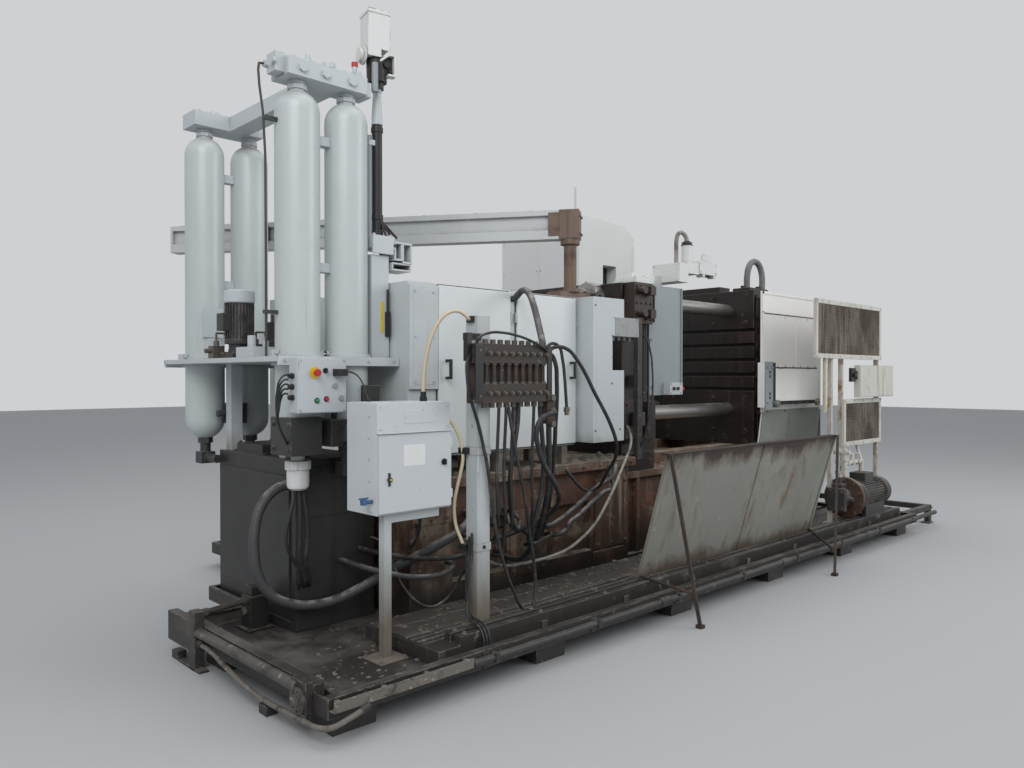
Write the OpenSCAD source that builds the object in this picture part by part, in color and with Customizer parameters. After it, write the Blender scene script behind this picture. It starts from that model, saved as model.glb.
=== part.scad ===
// Cold chamber die casting machine on its drip tray.
// X runs along the machine towards the clamp end, Y towards the far side, Z up.
// The origin is on the floor, under the middle of the whole machine.

/* [Base] */
// Length over the tray and the end frame
overall_len = 7920; // [7800:10:8200]
// Height of the tray plate above the floor
tray_h = 110; // [80:5:160]
// Thickness of the tray plate
tray_t = 12; // [8:1:20]
// Height of the rim above the tray plate
rim_h = 80; // [50:5:120]
// Height of the end bar of the tray above the tray plate
end_bar_h = 113; // [90:1:130]
// Width of the end bar of the tray
end_bar_w = 60; // [40:5:80]
// Thickness of the rim
rim_t = 12; // [8:1:25]
// Distance from the centre line to the near rim
tray_near = 1750; // [1720:5:1850]
// Distance from the centre line to the far rim
tray_far = 1990; // [1985:5:2100]
// Side of each square floor pad
pad_w = 240; // [150:10:300]
// Thickness of the walkway deck
deck_t = 80; // [50:5:120]
// Distance from the centre line to the outer edge of the deck
deck_edge = 1600; // [1560:5:1680]
// Width and height of the rails on the deck
rail_w = 50; // [30:5:70]
// Length of the open frame past the tray
end_frame_len = 760; // [600:10:900]
// Size of the square tube of the end frame
end_tube = 60; // [40:5:80]
// Distance between the outer faces of the end frame's two side rails
end_frame_w = 3300; // [3000:10:3400]
// Diameter of the pipe along the near rim
rim_pipe_d = 45; // [30:5:60]
// Diameter of the roller across the near end
roller_d = 55; // [40:1:56]
// How far the roller and its leg stand out past the tray plate
rack_reach = 60; // [58:1:80]
// Distance from the centre line to the far edge of the tray at the roller
tray_mid = 60; // [40:5:100]

/* [Bed] */
// Start of the injection bed along X
bed_x0 = -2750; // [-2900:10:-2700]
// Half width of the bed's body
bed_half = 820; // [780:5:850]
// Half width of the ledge along the top of the bed
ledge_half = 900; // [870:5:930]
// Thickness of the ledge
ledge_t = 70; // [40:5:100]
// Height of the injection bed's top above the floor
bed_top = 1000; // [960:5:1040]
// Half width of the clamp bed
clamp_half = 700; // [660:10:740]
// Height of the clamp bed's top above the floor
clamp_top = 860; // [820:5:880]
// Height of the guide rails for the moving platen
guide_h = 100; // [60:5:120]
// Width of each guide rail
guide_w = 150; // [100:10:200]

/* [Clamp unit] */
// Die face of the fixed platen along X
fixed_face = -80; // [-140:10:0]
// Thickness of the fixed platen
fixed_t = 450; // [400:10:480]
// Distance between the moving and the rear platen, fully open
open_gap = 700; // [650:10:760]
// Thickness of the moving platen
moving_t = 400; // [350:10:450]
// Distance from the rear platen to the clamp end of the tray
rear_gap = 100; // [90:5:140]
// Thickness of the rear platen
rear_t = 400; // [350:10:420]
// Half width of the platens
platen_half = 750; // [720:5:760]
// Top of the moving and the rear platen above the floor
platen_top = 2530; // [2515:5:2545]
// Top of the fixed platen above the floor
fixed_top = 2430; // [2410:5:2450]
// Diameter of the tie bars
tie_d = 130; // [100:5:160]
// Distance between the tie bars across the machine
tie_span_y = 900; // [850:10:1000]
// Distance between the tie bars up the machine
tie_span_z = 1010; // [950:10:1080]
// Diameter of the tie bar nuts
nut_d = 230; // [200:5:260]
// Length of the tie bar nuts
nut_len = 110; // [80:5:140]
// Width of the T-slots in the die faces
slot_w = 36; // [20:2:50]
// Depth of the T-slots
slot_depth = 45; // [20:5:60]
// Diameter of the closing rod
closing_rod_d = 240; // [180:10:280]
// Outer diameter of the closing cylinder
closing_cyl_d = 420; // [380:10:480]
// Length of the closing cylinder behind the rear platen
closing_cyl_len = 800; // [760:10:830]

/* [Injection unit] */
// Height of the shot axis above the floor
shot_z = 1620; // [1600:5:1700]
// Diameter of the shot cylinder
shot_cyl_d = 360; // [300:10:420]
// Length of the shot cylinder
shot_cyl_len = 1100; // [1000:10:1150]
// Outer diameter of the shot sleeve
sleeve_d = 200; // [160:5:240]
// Bore of the shot sleeve
sleeve_bore = 110; // [80:5:130]
// Thickness of the side beams of the injection frame
frame_beam_t = 120; // [80:5:140]

/* [Shot cabinet] */
// Left end of the cabinet along X
cab_x0 = -2816; // [-2850:2:-2790]
// Length of the cabinet
cab_len = 1537; // [1500:5:1560]
// Distance from the centre line to the front of the cabinet
cab_front = 890; // [880:5:900]
// Depth of the cabinet
cab_depth = 470; // [430:5:480]
// Underside of the cabinet above the floor
cab_z0 = 1142; // [1110:2:1180]
// Height of the cabinet
cab_h = 1102; // [1060:2:1120]
// Wall thickness of the cabinet
cab_wall = 20; // [10:1:30]
// Width of the narrow fixed panel at the left
cab_panel_w = 225; // [180:5:260]
// Width of the left door
door_left_w = 631; // [560:1:640]
// Width of the post between the doors
cab_post_w = 65; // [40:5:90]
// Thickness of the doors and the narrow panel
door_t = 20; // [12:1:30]
// Gap round each door
door_gap = 4; // [2:1:6]
// Side of the square legs under the cabinet
cab_leg = 60; // [40:5:80]

/* [End guard] */
// Distance along X from the cabinet to the front of the end guard
end_guard_gap = 30; // [20:5:50]
// Length of the end guard
end_guard_len = 367; // [320:1:370]
// Distance from the centre line to the front of the end guard
end_guard_front = 1050; // [1020:5:1090]
// Width of the notch in the right of the end guard
notch_w = 140; // [100:5:180]
// Underside of the notch above the floor
notch_z0 = 1700; // [1650:5:1760]
// Height of the notch
notch_h = 400; // [350:10:430]

/* [Platen fittings] */
// Depth of the valve block on the fixed platen
valve_depth = 110; // [80:5:140]
// Length of the guard sheet past the die face
sheet_reach = 390; // [340:5:420]
// Thickness of the guard sheet
sheet_t = 12; // [6:1:20]
// Underside of the guard sheet above the floor
sheet_z0 = 1490; // [1450:5:1530]
// Length of the head of the spray unit across the machine, the sign is on its end
sign_len = 290; // [270:5:295]
// Height of the head of the spray unit
sign_h = 170; // [150:5:190]
// Thickness of the head of the spray unit along the machine
sign_t = 140; // [110:5:170]
// Width of the push button box
button_box_w = 190; // [150:5:210]

/* [Side covers] */
// How far the near side cover reaches past the open moving platen
cover_lead = 100; // [60:5:140]
// Distance from the centre line to the side covers' outer face
cover_out = 900; // [880:5:920]
// Thickness of the side covers
cover_t = 20; // [10:1:30]
// Underside of the side covers above the floor
cover_z0 = 1300; // [1270:5:1340]
// Top of the side covers above the floor
cover_z1 = 2500; // [2460:5:2540]
// Underside of the slanted skirt above the floor
skirt_z0 = 960; // [920:5:1000]
// Depth of the door drive in front of the near cover
drive_depth = 100; // [80:5:120]
// Height of the door drive
drive_h = 440; // [400:5:460]

/* [Screens] */
// Distance from the centre line to the screens
screen_y = 1400; // [1380:5:1420]
// Distance from the screens to the clamp end of the tray
screen_gap = 80; // [60:5:90]
// Length of the upper screen
screen_up_len = 1540; // [1500:5:1580]
// Underside of the upper screen above the floor
screen_up_z0 = 1830; // [1810:5:1860]
// Height of the upper screen
screen_up_h = 570; // [520:5:600]
// Length of the lower screen
screen_low_len = 920; // [860:5:930]
// Underside of the lower screen above the floor
screen_low_z0 = 950; // [920:5:980]
// Height of the lower screen
screen_low_h = 600; // [560:5:620]
// Width of the screens' frames
screen_frame = 40; // [30:5:60]
// Side of the square guard posts
guard_post = 40; // [30:5:60]

/* [Pump motor] */
// Diameter of the pump motor's body
motor_d = 300; // [240:10:340]
// Diameter of the pump motor's flange
motor_flange_d = 400; // [360:10:420]
// Length of the pump motor's body
motor_len = 560; // [480:10:620]

/* [Rear housing] */
// Left face of the rear housing along X
house_x0 = 680; // [640:5:720]
// Length of the rear housing
house_len = 975; // [940:5:1000]
// Distance from the centre line to the near face of the rear housing
house_near = 790; // [780:5:820]
// Top of the rear housing above the floor
house_top = 3400; // [3300:10:3450]
// Size of the chamfer at the rear housing's top right corner
house_chamfer = 170; // [100:10:220]

/* [Accumulators] */
// Diameter of the bottles
bottle_d = 260; // [240:5:280]
// Underside of the bottles above the floor
bottle_z0 = 1220; // [1210:5:1240]
// Top of the bottles above the floor
bottle_z1 = 3315; // [3280:5:3350]
// Place of the left pair of bottles along X
bottle_x = -3430; // [-3450:5:-3420]
// Distance between the two bottles of a pair
bottle_pitch = 330; // [310:5:350]
// Distance from the centre line to the near pair
bottle_near = 645; // [630:5:660]
// Distance from the centre line to the far pair
bottle_far = 640; // [620:5:660]
// Top of the platform that clamps the bottles
platform_top = 1766; // [1750:2:1790]
// Thickness of the platform
platform_t = 30; // [20:2:40]
// Height of the manifold blocks over the bottles
manifold_h = 100; // [80:5:120]
// Width of the manifold blocks
manifold_w = 200; // [160:5:220]
// Gap between the bottle tops and the manifolds
manifold_gap = 55; // [40:5:70]
// Side of the square column beside the near bottles
column_w = 130; // [110:5:140]
// Top of the column above the floor
column_top = 2410; // [2380:5:2440]
// Diameter of the mast tube
mast_d = 65; // [50:5:80]
// Height of the box on the mast
mast_box_h = 285; // [260:5:300]
// Width of the box on the mast
mast_box_w = 140; // [120:5:160]
// Underside of the box on the mast above the floor
mast_box_z0 = 3650; // [3620:5:3680]
// How far the box on the mast is turned towards the operator, in degrees
mast_box_turn = 12; // [0:1:20]

/* [Oil tank] */
// Left face of the oil tank along X
tank_x0 = -3400; // [-3450:5:-3380]
// Length of the oil tank
tank_len = 560; // [500:5:600]
// Distance from the centre line to the near face of the oil tank
tank_near = 560; // [530:5:565]
// Distance from the centre line to the far face of the oil tank
tank_far = 480; // [460:5:520]
// Top of the oil tank above the floor
tank_top = 1150; // [1120:5:1180]

/* [Control gear] */
// Width of the control box
box_w = 500; // [440:5:520]
// Depth of the control box
box_d = 290; // [240:5:300]
// Height of the control box
box_h = 602; // [560:2:620]
// Underside of the control box above the floor
box_z0 = 909; // [880:1:930]
// Wall thickness of the control box
box_wall = 8; // [4:1:12]
// Height of the band over the control box door
box_band = 168; // [140:2:190]
// Thickness of the control box door
box_door_t = 18; // [12:1:24]
// Side of the square pole under the control box
box_pole = 50; // [40:2:60]
// Side of the square hose post
post_w = 100; // [80:2:110]
// Top of the hose post above the floor
post_top = 2006; // [1980:2:2040]
// Length of the flow manifold
flow_len = 617; // [560:1:640]
// Height of the flow manifold
flow_h = 340; // [320:5:360]
// Width of the operator panel
panel_w = 313; // [280:1:330]
// Height of the operator panel
panel_h = 315; // [290:1:330]
// Depth of the operator panel
panel_d = 98; // [80:1:110]

/* [Jib] */
// Length of the jib beam from its pivot
jib_len = 3333; // [3100:1:3360]
// Height of the jib beam
jib_beam_h = 218; // [180:2:230]
// Width of the jib beam
jib_beam_w = 110; // [80:5:120]
// Top of the jib beam above the floor
jib_top = 2897; // [2860:1:2920]
// Diameter of the jib post
jib_post_d = 95; // [70:5:110]
// Angle of the jib beam at rest, from X
jib_angle = 124; // [118:1:128]

/* [Splash guard] */
// Left end of the splash guard along X
splash_x0 = -1300; // [-1340:5:-1260]
// Length of the splash guard
splash_len = 2560; // [2480:10:2600]
// Top edge of the splash guard above the floor
splash_top = 1130; // [1100:5:1160]
// How far the top edge leans out past the bottom edge
splash_lean = 250; // [200:5:280]
// Thickness of the splash guard
splash_t = 12; // [8:1:16]
// Width of the square prop rods
prop_d = 22; // [16:1:30]
// How far the feet of the prop rods stand past the near rim
prop_reach = 218; // [200:1:218]

/* [Hidden] */
$fn = 48;

// Seat between pieces that are bolted or stand on each other
seat = 0.3;
// Running clearance of bars and rods in their bores, on the radius
run = 0.5;
// Cutters reach this far past the faces that they cut
over = 5;

// Levels
tray_top = tray_h + tray_t;
deck_top = tray_top + deck_t;
guide_top = clamp_top + guide_h;
cab_top = cab_z0 + cab_h;
tie_mid = 1825;

// Base
tray_x0 = -overall_len / 2;
tray_x1 = overall_len / 2 - end_frame_len;
pad_cols = 6;
pad_rows = 4;
deck_x0 = -3150;
frame_x1 = overall_len / 2;
plate_x0 = tray_x0 + rack_reach;

// Clamp unit
rear_back = tray_x1 - rear_gap;
rear_face = rear_back - rear_t;
moving_back = rear_face - open_gap;
moving_face = moving_back - moving_t;
fixed_back = fixed_face - fixed_t;
clamp_x1 = rear_back + 50;
rod_end = rear_back + closing_cyl_len - 30;

// Cabinet
cab_x1 = cab_x0 + cab_len;
cab_back = cab_front - cab_depth;
door_front = -cab_front - seat - door_t;
left_door_x0 = cab_x0 + cab_panel_w + door_gap;
left_door_x1 = left_door_x0 + door_left_w;
right_door_x0 = left_door_x1 + cab_post_w;
right_door_x1 = cab_x1 - door_gap;
door_z0 = cab_z0 + door_gap + 12;
door_z1 = cab_top - door_gap - 8;

// End guard
guard_x0 = cab_x1 + end_guard_gap;
guard_x1 = guard_x0 + end_guard_len;

// Covers, guard sheet and screens
cover_x0 = moving_face - cover_lead;
sheet_z1 = fixed_top + 10;
screen_up_x1 = tray_x1 - screen_gap;
screen_up_x0 = screen_up_x1 - screen_up_len;
screen_low_x0 = screen_up_x1 - screen_low_len;

// Pump motor
motor_z = deck_top + rail_w + motor_flange_d / 2 + 1;
motor_top = motor_z + motor_flange_d / 2;

// Accumulators
bottle_x2 = bottle_x + bottle_pitch;
stand_x0 = bottle_x - bottle_d / 2 - 80;
stand_x1 = bottle_x2 + bottle_d / 2 + 150;
stand_near = bottle_near + bottle_d / 2 + 25;
stand_far = bottle_far + bottle_d / 2 + 60;
manifold_z0 = bottle_z1 + manifold_gap;
column_x = bottle_x2 + bottle_d / 2 + 10 + column_w / 2;
mast_x = column_x + 22;

// Oil tank, and the steps of the tray round it on the far side
tank_x1 = tank_x0 + tank_len;
step_x = tank_x0 - 50;
step_y = tank_far + 70;
wide_x = tank_x1 + 40;

// Control gear
box_x0 = -3357;
box_x1 = box_x0 + box_w;
box_front = 1344;
box_top = box_z0 + box_h;
box_door_z0 = box_z0 + 10;
box_door_z1 = box_top - box_band;
post_x = -2668;
post_y = -1372;
post_front = post_y - post_w / 2;
flow_x0 = -2798;
flow_z0 = 1500;
flow_depth = 80;
panel_x0 = -3572;

// Jib
jib_x = cab_x1;
jib_y = -cab_front + 40;
jib_plate_t = 40;
jib_z0 = cab_top + jib_plate_t;
jib_bottom = jib_top - jib_beam_h;

// Splash guard
splash_foot = deck_edge - 100;
splash_z0 = deck_top + rail_w + seat;
prop_y = -tray_near - prop_reach;

// Routes of the free hoses, each from its first fitting to its last
suction_d = 60;
suction_route = [[-3400, -500, 1000], [-3440, -500, 1000], [-3520, -505, 970], [-3595, -515, 895],
                 [-3640, -530, 785], [-3655, -545, 650], [-3640, -560, 510], [-3575, -580, 390],
                 [-3455, -600, 315], [-3300, -625, 285], [-3150, -650, 300], [-3010, -700, 360],
                 [-2890, -780, 440], [-2780, -880, 520], [-2650, -950, 590], [-2510, -975, 650],
                 [-2380, -950, 700], [-2310, -890, 735], [-2290, -850, 740], [-2290, -820, 740]];
feed_d = 44;
feed_route = [[-1925, -890, 2190], [-1925, -912, 2190], [-1927, -945, 2208], [-1940, -1000, 2235],
    [-1970, -1070, 2230],
              [-2010, -1150, 2190], [-2060, -1230, 2120], [-2110, -1310, 2030],
              [-2160, -1385, 1940], [-2195, -1435, 1885], [-2210, -1455, 1860],
              [-2210, -1455, 1840]];
drop_d = 30;
drop_left_route = [[-2420, -1455, 1500], [-2420, -1455, 1430], [-2430, -1455, 1340],
                   [-2445, -1450, 1250], [-2460, -1445, 1160], [-2470, -1440, 1070],
                   [-2465, -1430, 980], [-2445, -1415, 890], [-2410, -1390, 810],
                   [-2360, -1350, 745], [-2290, -1300, 700], [-2210, -1240, 680],
                   [-2130, -1170, 680], [-2050, -1090, 690], [-1985, -1000, 705],
                   [-1950, -920, 715], [-1940, -860, 720], [-1940, -820, 720]];
drop_right_route = [[-2230, -1455, 1500], [-2230, -1455, 1430], [-2222, -1458, 1340],
                    [-2212, -1460, 1240], [-2202, -1458, 1140], [-2200, -1450, 1040],
                    [-2205, -1440, 940], [-2218, -1425, 840], [-2226, -1400, 755],
                    [-2210, -1365, 685], [-2170, -1320, 625], [-2110, -1260, 585],
                    [-2040, -1190, 565], [-1965, -1110, 560], [-1900, -1020, 570],
                    [-1862, -930, 582], [-1850, -865, 590], [-1850, -820, 590]];
cream_d = 22;
cream_route = [[-2718, -1372, 1985], [-2735, -1372, 1985], [-2765, -1368, 2008], [-2810, -1355, 2028],
               [-2862, -1332, 2015], [-2905, -1305, 1965], [-2935, -1280, 1890],
               [-2950, -1260, 1810], [-2957, -1245, 1730], [-2960, -1235, 1650],
               [-2960, -1230, 1580], [-2960, -1230, 1511]];

// A box between two corners
module block(x0, x1, y0, y1, z0, z1) {
    translate([x0, y0, z0])
        cube([x1 - x0, y1 - y0, z1 - z0]);
}

// A round bar along X
module bar_x(x0, x1, y, z, d) {
    translate([x0, y, z])
        rotate([0, 90, 0])
            cylinder(d = d, h = x1 - x0);
}

// A round bar along Y
module bar_y(y0, y1, x, z, d) {
    translate([x, y1, z])
        rotate([90, 0, 0])
            cylinder(d = d, h = y1 - y0);
}

// A straight square bar between any two points
module square_bar(a, b, w) {
    v = b - a;
    len_v = norm(v);
    translate(a)
        rotate([0, acos(v[2] / len_v), atan2(v[1], v[0])])
            translate([-w / 2, -w / 2, 0])
                cube([w, w, len_v]);
}

// The four tie bar places
module at_ties() {
    for (sy = [-1, 1], sz = [-1, 1])
        translate([0, sy * tie_span_y / 2, tie_mid + sz * tie_span_z / 2])
            children();
}

// Horizontal slots across a die face, opening towards the side given by dir
module slots(face, dir) {
    for (k = [-2 : 2])
        translate([face, 0, tie_mid + k * 150]) {
            translate([-dir * slot_depth / 2, 0, 0])
                cube([slot_depth + over, 2 * platen_half + 2 * over, slot_w], center = true);
            translate([-dir * slot_depth, 0, 0])
                cube([slot_depth / 2, 2 * platen_half + 2 * over, slot_w * 1.8], center = true);
        }
}

// Tube swept along a route: one ring for each point
function unit(v) = v / norm(v);
function heading(p, i) = unit(p[min(i + 1, len(p) - 1)] - p[max(i - 1, 0)]);
function side_of(t, ref) = unit(cross(t, ref));
function ring(c, t, ref, r, n) =
    let (u = side_of(t, ref), w = cross(t, u))
    [for (k = [0 : n - 1]) c + r * (cos(360 * k / n) * u + sin(360 * k / n) * w)];
function rings(p, ref, r, n) =
    [for (i = [0 : len(p) - 1]) each ring(p[i], heading(p, i), ref, r, n)];
function walls(m, n) =
    [for (i = [0 : m - 2], k = [0 : n - 1])
        each [[i * n + k, i * n + (k + 1) % n, (i + 1) * n + (k + 1) % n],
              [i * n + k, (i + 1) * n + (k + 1) % n, (i + 1) * n + k]]];
module swept(p, d, ref) {
    n = 8;
    m = len(p);
    polyhedron(points = rings(p, ref, d / 2, n),
               faces = concat([[for (k = [0 : n - 1]) n - 1 - k]], walls(m, n),
                              [[for (k = [0 : n - 1]) (m - 1) * n + k]]));
}

// The tray's outline, drawn in by dist: narrow at the roller, wider round the oil tank, then full
function tray_outline(dist) = [
    [plate_x0 + dist, -tray_near + dist], [tray_x1 - dist, -tray_near + dist],
    [tray_x1 - dist, tray_far - dist], [wide_x + dist, tray_far - dist],
    [wide_x + dist, step_y - dist], [step_x + dist, step_y - dist],
    [step_x + dist, -tray_mid - dist], [plate_x0 + dist, -tray_mid - dist]];

// Welded drip tray with its rim, end bar, floor pads and the pipe along the near rim
module base_tray() {
    color("dimgray") {
        translate([0, 0, tray_h])
            linear_extrude(height = tray_t)
                polygon(tray_outline(0));
        translate([0, 0, tray_h])
            linear_extrude(height = tray_t + rim_h)
                difference() {
                    polygon(tray_outline(0));
                    polygon(tray_outline(rim_t));
                }
        block(plate_x0, plate_x0 + end_bar_w, -tray_near + 130, -tray_mid, tray_h, tray_top + end_bar_h);
        for (i = [0 : pad_cols - 1], j = [0 : pad_rows - 1]) {
            x = plate_x0 + 60 + i * (tray_x1 - plate_x0 - 180 - pad_w) / (pad_cols - 1);
            y = -tray_near + 60 + j * (tray_near + tray_far - 120 - pad_w) / (pad_rows - 1);
            if (i > 0 || j < 2)
                block(x, x + pad_w, y, y + pad_w, 0, tray_h + 1);
        }
        bar_x(plate_x0 + 840, tray_x1 + 500, -tray_near - rim_pipe_d / 2 + 2, tray_top + 40, rim_pipe_d);
    }
}

// Open frame of square tube past the clamp end of the tray
module end_frame() {
    half = end_frame_w / 2;
    x0 = tray_x1 + seat;
    x1 = frame_x1;
    z0 = tray_top + rim_h - end_tube;
    color("dimgray") {
        for (y = [-half, half - end_tube])
            block(x0, x1, y, y + end_tube, z0, z0 + end_tube);
        block(x1 - end_tube, x1, -half, half, z0, z0 + end_tube);
        block(x0, x0 + end_tube, -half, half, z0, z0 + end_tube);
        for (y = [-half, half - end_tube])
            block(x1 - end_tube, x1, y, y + end_tube, 0, z0 + 1);
        block(x1 - 120, x1, -half - 20, -half + 80, 0, 12);
        block(x1 - 120, x1, half - 80, half + 20, 0, 12);
    }
}

// Roller across the injection end between its leg and its hub, with the channel beside the leg
module end_rack() {
    x0 = tray_x0;
    x1 = plate_x0 - seat;
    leg_y = -440;
    leg_w = 80;
    hub_y = -tray_near + 190;
    hub_d = 140;
    roller_z = tray_top + 92;
    color("saddlebrown") {
        block(x0, x1, leg_y, leg_y + leg_w, 0, tray_top + 208);
        block(x0, x1, leg_y + leg_w - 1, -tray_mid, tray_h - 10, tray_top + 148);
        block(x0, x1, leg_y - 60, leg_y + leg_w + 160, 0, 15);
        bar_y(hub_y + 20, leg_y + 1, x0 + roller_d / 2 + 2, roller_z, roller_d);
        block(x0, x1, hub_y - 60, hub_y + 80, tray_h - 10, tray_top + 128);
        bar_x(x0, x1, hub_y, tray_top + 37, hub_d);
    }
}

// Walkway deck on both sides of the bed, with rails along it
module deck() {
    z0 = tray_top + seat;
    inner = ledge_half + 20;
    color("dimgray") {
        block(deck_x0, tray_x1 - 40, -deck_edge, -inner, z0, deck_top);
        for (y = [-deck_edge, -deck_edge + 80])
            block(deck_x0 + 150, tray_x1 - 40, y, y + rail_w, deck_top - 1, deck_top + rail_w);
        block(wide_x + 60, house_x0 - 40, inner, deck_edge, z0, deck_top);
    }
}

// Cast bed under the injection unit, with a ledge along its top
module machine_bed() {
    z0 = tray_top + seat;
    x1 = fixed_back - seat;
    color("sienna") {
        difference() {
            block(bed_x0, x1, -bed_half, bed_half, z0, bed_top);
            for (x = [bed_x0 + 350, bed_x0 + 1250])
                for (y = [-bed_half - over, bed_half - 60])
                    block(x, x + 500, y, y + 60 + over, z0 + 180, z0 + 560);
        }
        block(bed_x0, x1, -ledge_half, ledge_half, bed_top - ledge_t, bed_top);
    }
}

// Cast bed under the clamp unit, with the two guide rails
module clamp_bed() {
    z0 = tray_top + seat;
    color("sienna") {
        block(fixed_back, clamp_x1, -clamp_half, clamp_half, z0, clamp_top);
        for (s = [-1, 1])
            block(fixed_face + 100, rear_face - 100,
                  s * tie_span_y / 2 - guide_w / 2, s * tie_span_y / 2 + guide_w / 2,
                  clamp_top - 1, guide_top);
    }
}

// Fixed platen with the holes for the tie bars and the shot sleeve
module fixed_platen() {
    color("dimgray")
        difference() {
            block(fixed_back, fixed_face, -platen_half, platen_half, clamp_top + seat, fixed_top);
            at_ties()
                bar_x(fixed_back - over, fixed_face + over, 0, 0, tie_d + 2 * seat);
            bar_x(fixed_back - over, fixed_face + over, 0, shot_z, sleeve_d + 2 * seat);
            slots(fixed_face, 1);
        }
}

// Moving platen, running on the guide rails and the tie bars
module moving_platen() {
    color("dimgray")
        difference() {
            block(moving_face, moving_back, -platen_half, platen_half, guide_top + seat, platen_top);
            at_ties()
                bar_x(moving_face - over, moving_back + over, 0, 0, tie_d + 2 * run);
            slots(moving_face, -1);
        }
}

// Rear platen that holds the closing cylinder
module rear_platen() {
    color("dimgray")
        difference() {
            block(rear_face, rear_back, -platen_half, platen_half, clamp_top + seat, platen_top);
            at_ties()
                bar_x(rear_face - over, rear_back + over, 0, 0, tie_d + 2 * seat);
            bar_x(rear_face - over, rear_back + over, 0, tie_mid, closing_rod_d + 2 * run);
        }
}

// Four tie bars with a nut at each end
module tie_bars() {
    color("silver")
        at_ties() {
            bar_x(fixed_back - nut_len - 60, rear_back + nut_len + 60, 0, 0, tie_d);
            bar_x(fixed_back - nut_len, fixed_back - seat, 0, 0, nut_d);
            bar_x(rear_back + seat, rear_back + nut_len, 0, 0, nut_d);
        }
}

// Closing cylinder behind the rear platen
module closing_cylinder() {
    x0 = rear_back + seat;
    x1 = rear_back + closing_cyl_len;
    color("darkgray")
        difference() {
            union() {
                bar_x(x0, x1, 0, tie_mid, closing_cyl_d);
                bar_x(x0, x0 + 60, 0, tie_mid, closing_cyl_d + 80);
                bar_x(x1 - 50, x1, 0, tie_mid, closing_cyl_d + 50);
            }
            bar_x(x0 - over, x1 - 20, 0, tie_mid, closing_rod_d + 2 * run);
        }
}

// Closing rod, fixed to the back of the moving platen
module closing_rod() {
    color("gainsboro") {
        bar_x(moving_back, rod_end, 0, tie_mid, closing_rod_d);
        bar_x(moving_back, moving_back + 60, 0, tie_mid, closing_rod_d + 140);
    }
}

// Shot cylinder in its frame behind the fixed platen
module shot_unit() {
    x0 = bed_x0 + 60;
    x1 = fixed_back - nut_len - 80;
    y_beam = shot_cyl_d / 2 + 20;
    z0 = bed_top + seat;
    cyl_x1 = x0 + shot_cyl_len;
    color("slategray") {
        bar_x(x0, cyl_x1, 0, shot_z, shot_cyl_d);
        block(cyl_x1 - 150, cyl_x1, -y_beam - frame_beam_t, y_beam + frame_beam_t, z0, shot_z + 220);
        block(x0 + 120, x0 + 240, -160, 160, z0, shot_z);
        for (s = [-1, 1])
            block(cyl_x1 - 150, fixed_back - seat,
                  min(s * y_beam, s * (y_beam + frame_beam_t)),
                  max(s * y_beam, s * (y_beam + frame_beam_t)), shot_z - 160, shot_z + 160);
        bar_x(cyl_x1 - 10, x1 - 100, 0, shot_z, sleeve_bore - 10);
        for (s = [-1, 1])
            block(x1 - 220, x1 - 120, s * (y_beam + frame_beam_t / 2) - 40,
                  s * (y_beam + frame_beam_t / 2) + 40, z0, shot_z - 100);
    }
}

// Shot sleeve through the fixed platen, with its pouring hole on top
module shot_sleeve() {
    x0 = fixed_back - 160;
    color("dimgray")
        difference() {
            bar_x(x0, fixed_face + 30, 0, shot_z, sleeve_d);
            bar_x(x0 - over, fixed_face + 30 + over, 0, shot_z, sleeve_bore);
            translate([x0 + 80, 0, shot_z])
                cylinder(d = sleeve_bore * 0.8, h = sleeve_d);
        }
}

// Sheet steel cabinet beside the shot cylinder, open at the back
module shot_cabinet() {
    y0 = -cab_front;
    y1 = -cab_back;
    color("gainsboro") {
        difference() {
            block(cab_x0, cab_x1, y0, y1, cab_z0, cab_top);
            block(cab_x0 + cab_wall, cab_x1 - cab_wall, y0 + cab_wall, y1 - cab_wall,
                  cab_z0 + cab_wall, cab_top - cab_wall);
            block(left_door_x0 + 20, left_door_x1 - 20, y0 - over, y0 + cab_wall + over,
                  door_z0 + 25, door_z1 - 25);
            block(right_door_x0 + 20, right_door_x1 - 20, y0 - over, y0 + cab_wall + over,
                  door_z0 + 25, door_z1 - 25);
        }
        block(cab_x0, left_door_x0 - door_gap, y0 - seat - door_t, y0 + 1, cab_z0 + 430, cab_top - 20);
        for (x = [cab_x0 + 40, (cab_x0 + cab_x1) / 2, cab_x1 - 40 - cab_leg])
            for (y = [y0 + 30, y1 - 30 - cab_leg])
                block(x, x + cab_leg, y, y + cab_leg, bed_top + seat, cab_z0 + 1);
    }
}

// Left cabinet door, hung on the middle post
module cabinet_door_left() {
    color("whitesmoke") {
        block(left_door_x0, left_door_x1, door_front, -cab_front - seat, door_z0, door_z1);
        door_handle(left_door_x0 + 60, door_front);
    }
}

// Right cabinet door, hung on the middle post
module cabinet_door_right() {
    color("whitesmoke") {
        block(right_door_x0, right_door_x1, door_front, -cab_front - seat, door_z0, door_z1);
        door_handle(right_door_x1 - 60, door_front);
    }
}

// Bow handle standing out of a door
module door_handle(x, face) {
    z = (door_z0 + door_z1) / 2 - 60;
    for (k = [0, 110])
        block(x - 8, x + 8, face - 40, face + 1, z + k, z + k + 16);
    block(x - 8, x + 8, face - 52, face - 38, z, z + 126);
}

// Closed cover beside the shot cylinder on the far side
module shot_cover_far() {
    color("gainsboro") {
        block(cab_x0, cab_x1, cab_back, cab_front, cab_z0, cab_top);
        for (x = [cab_x0 + 40, (cab_x0 + cab_x1) / 2, cab_x1 - 40 - cab_leg])
            for (y = [cab_back + 30, cab_front - 30 - cab_leg])
                block(x, x + cab_leg, y, y + cab_leg, bed_top + seat, cab_z0 + 1);
    }
}

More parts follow.
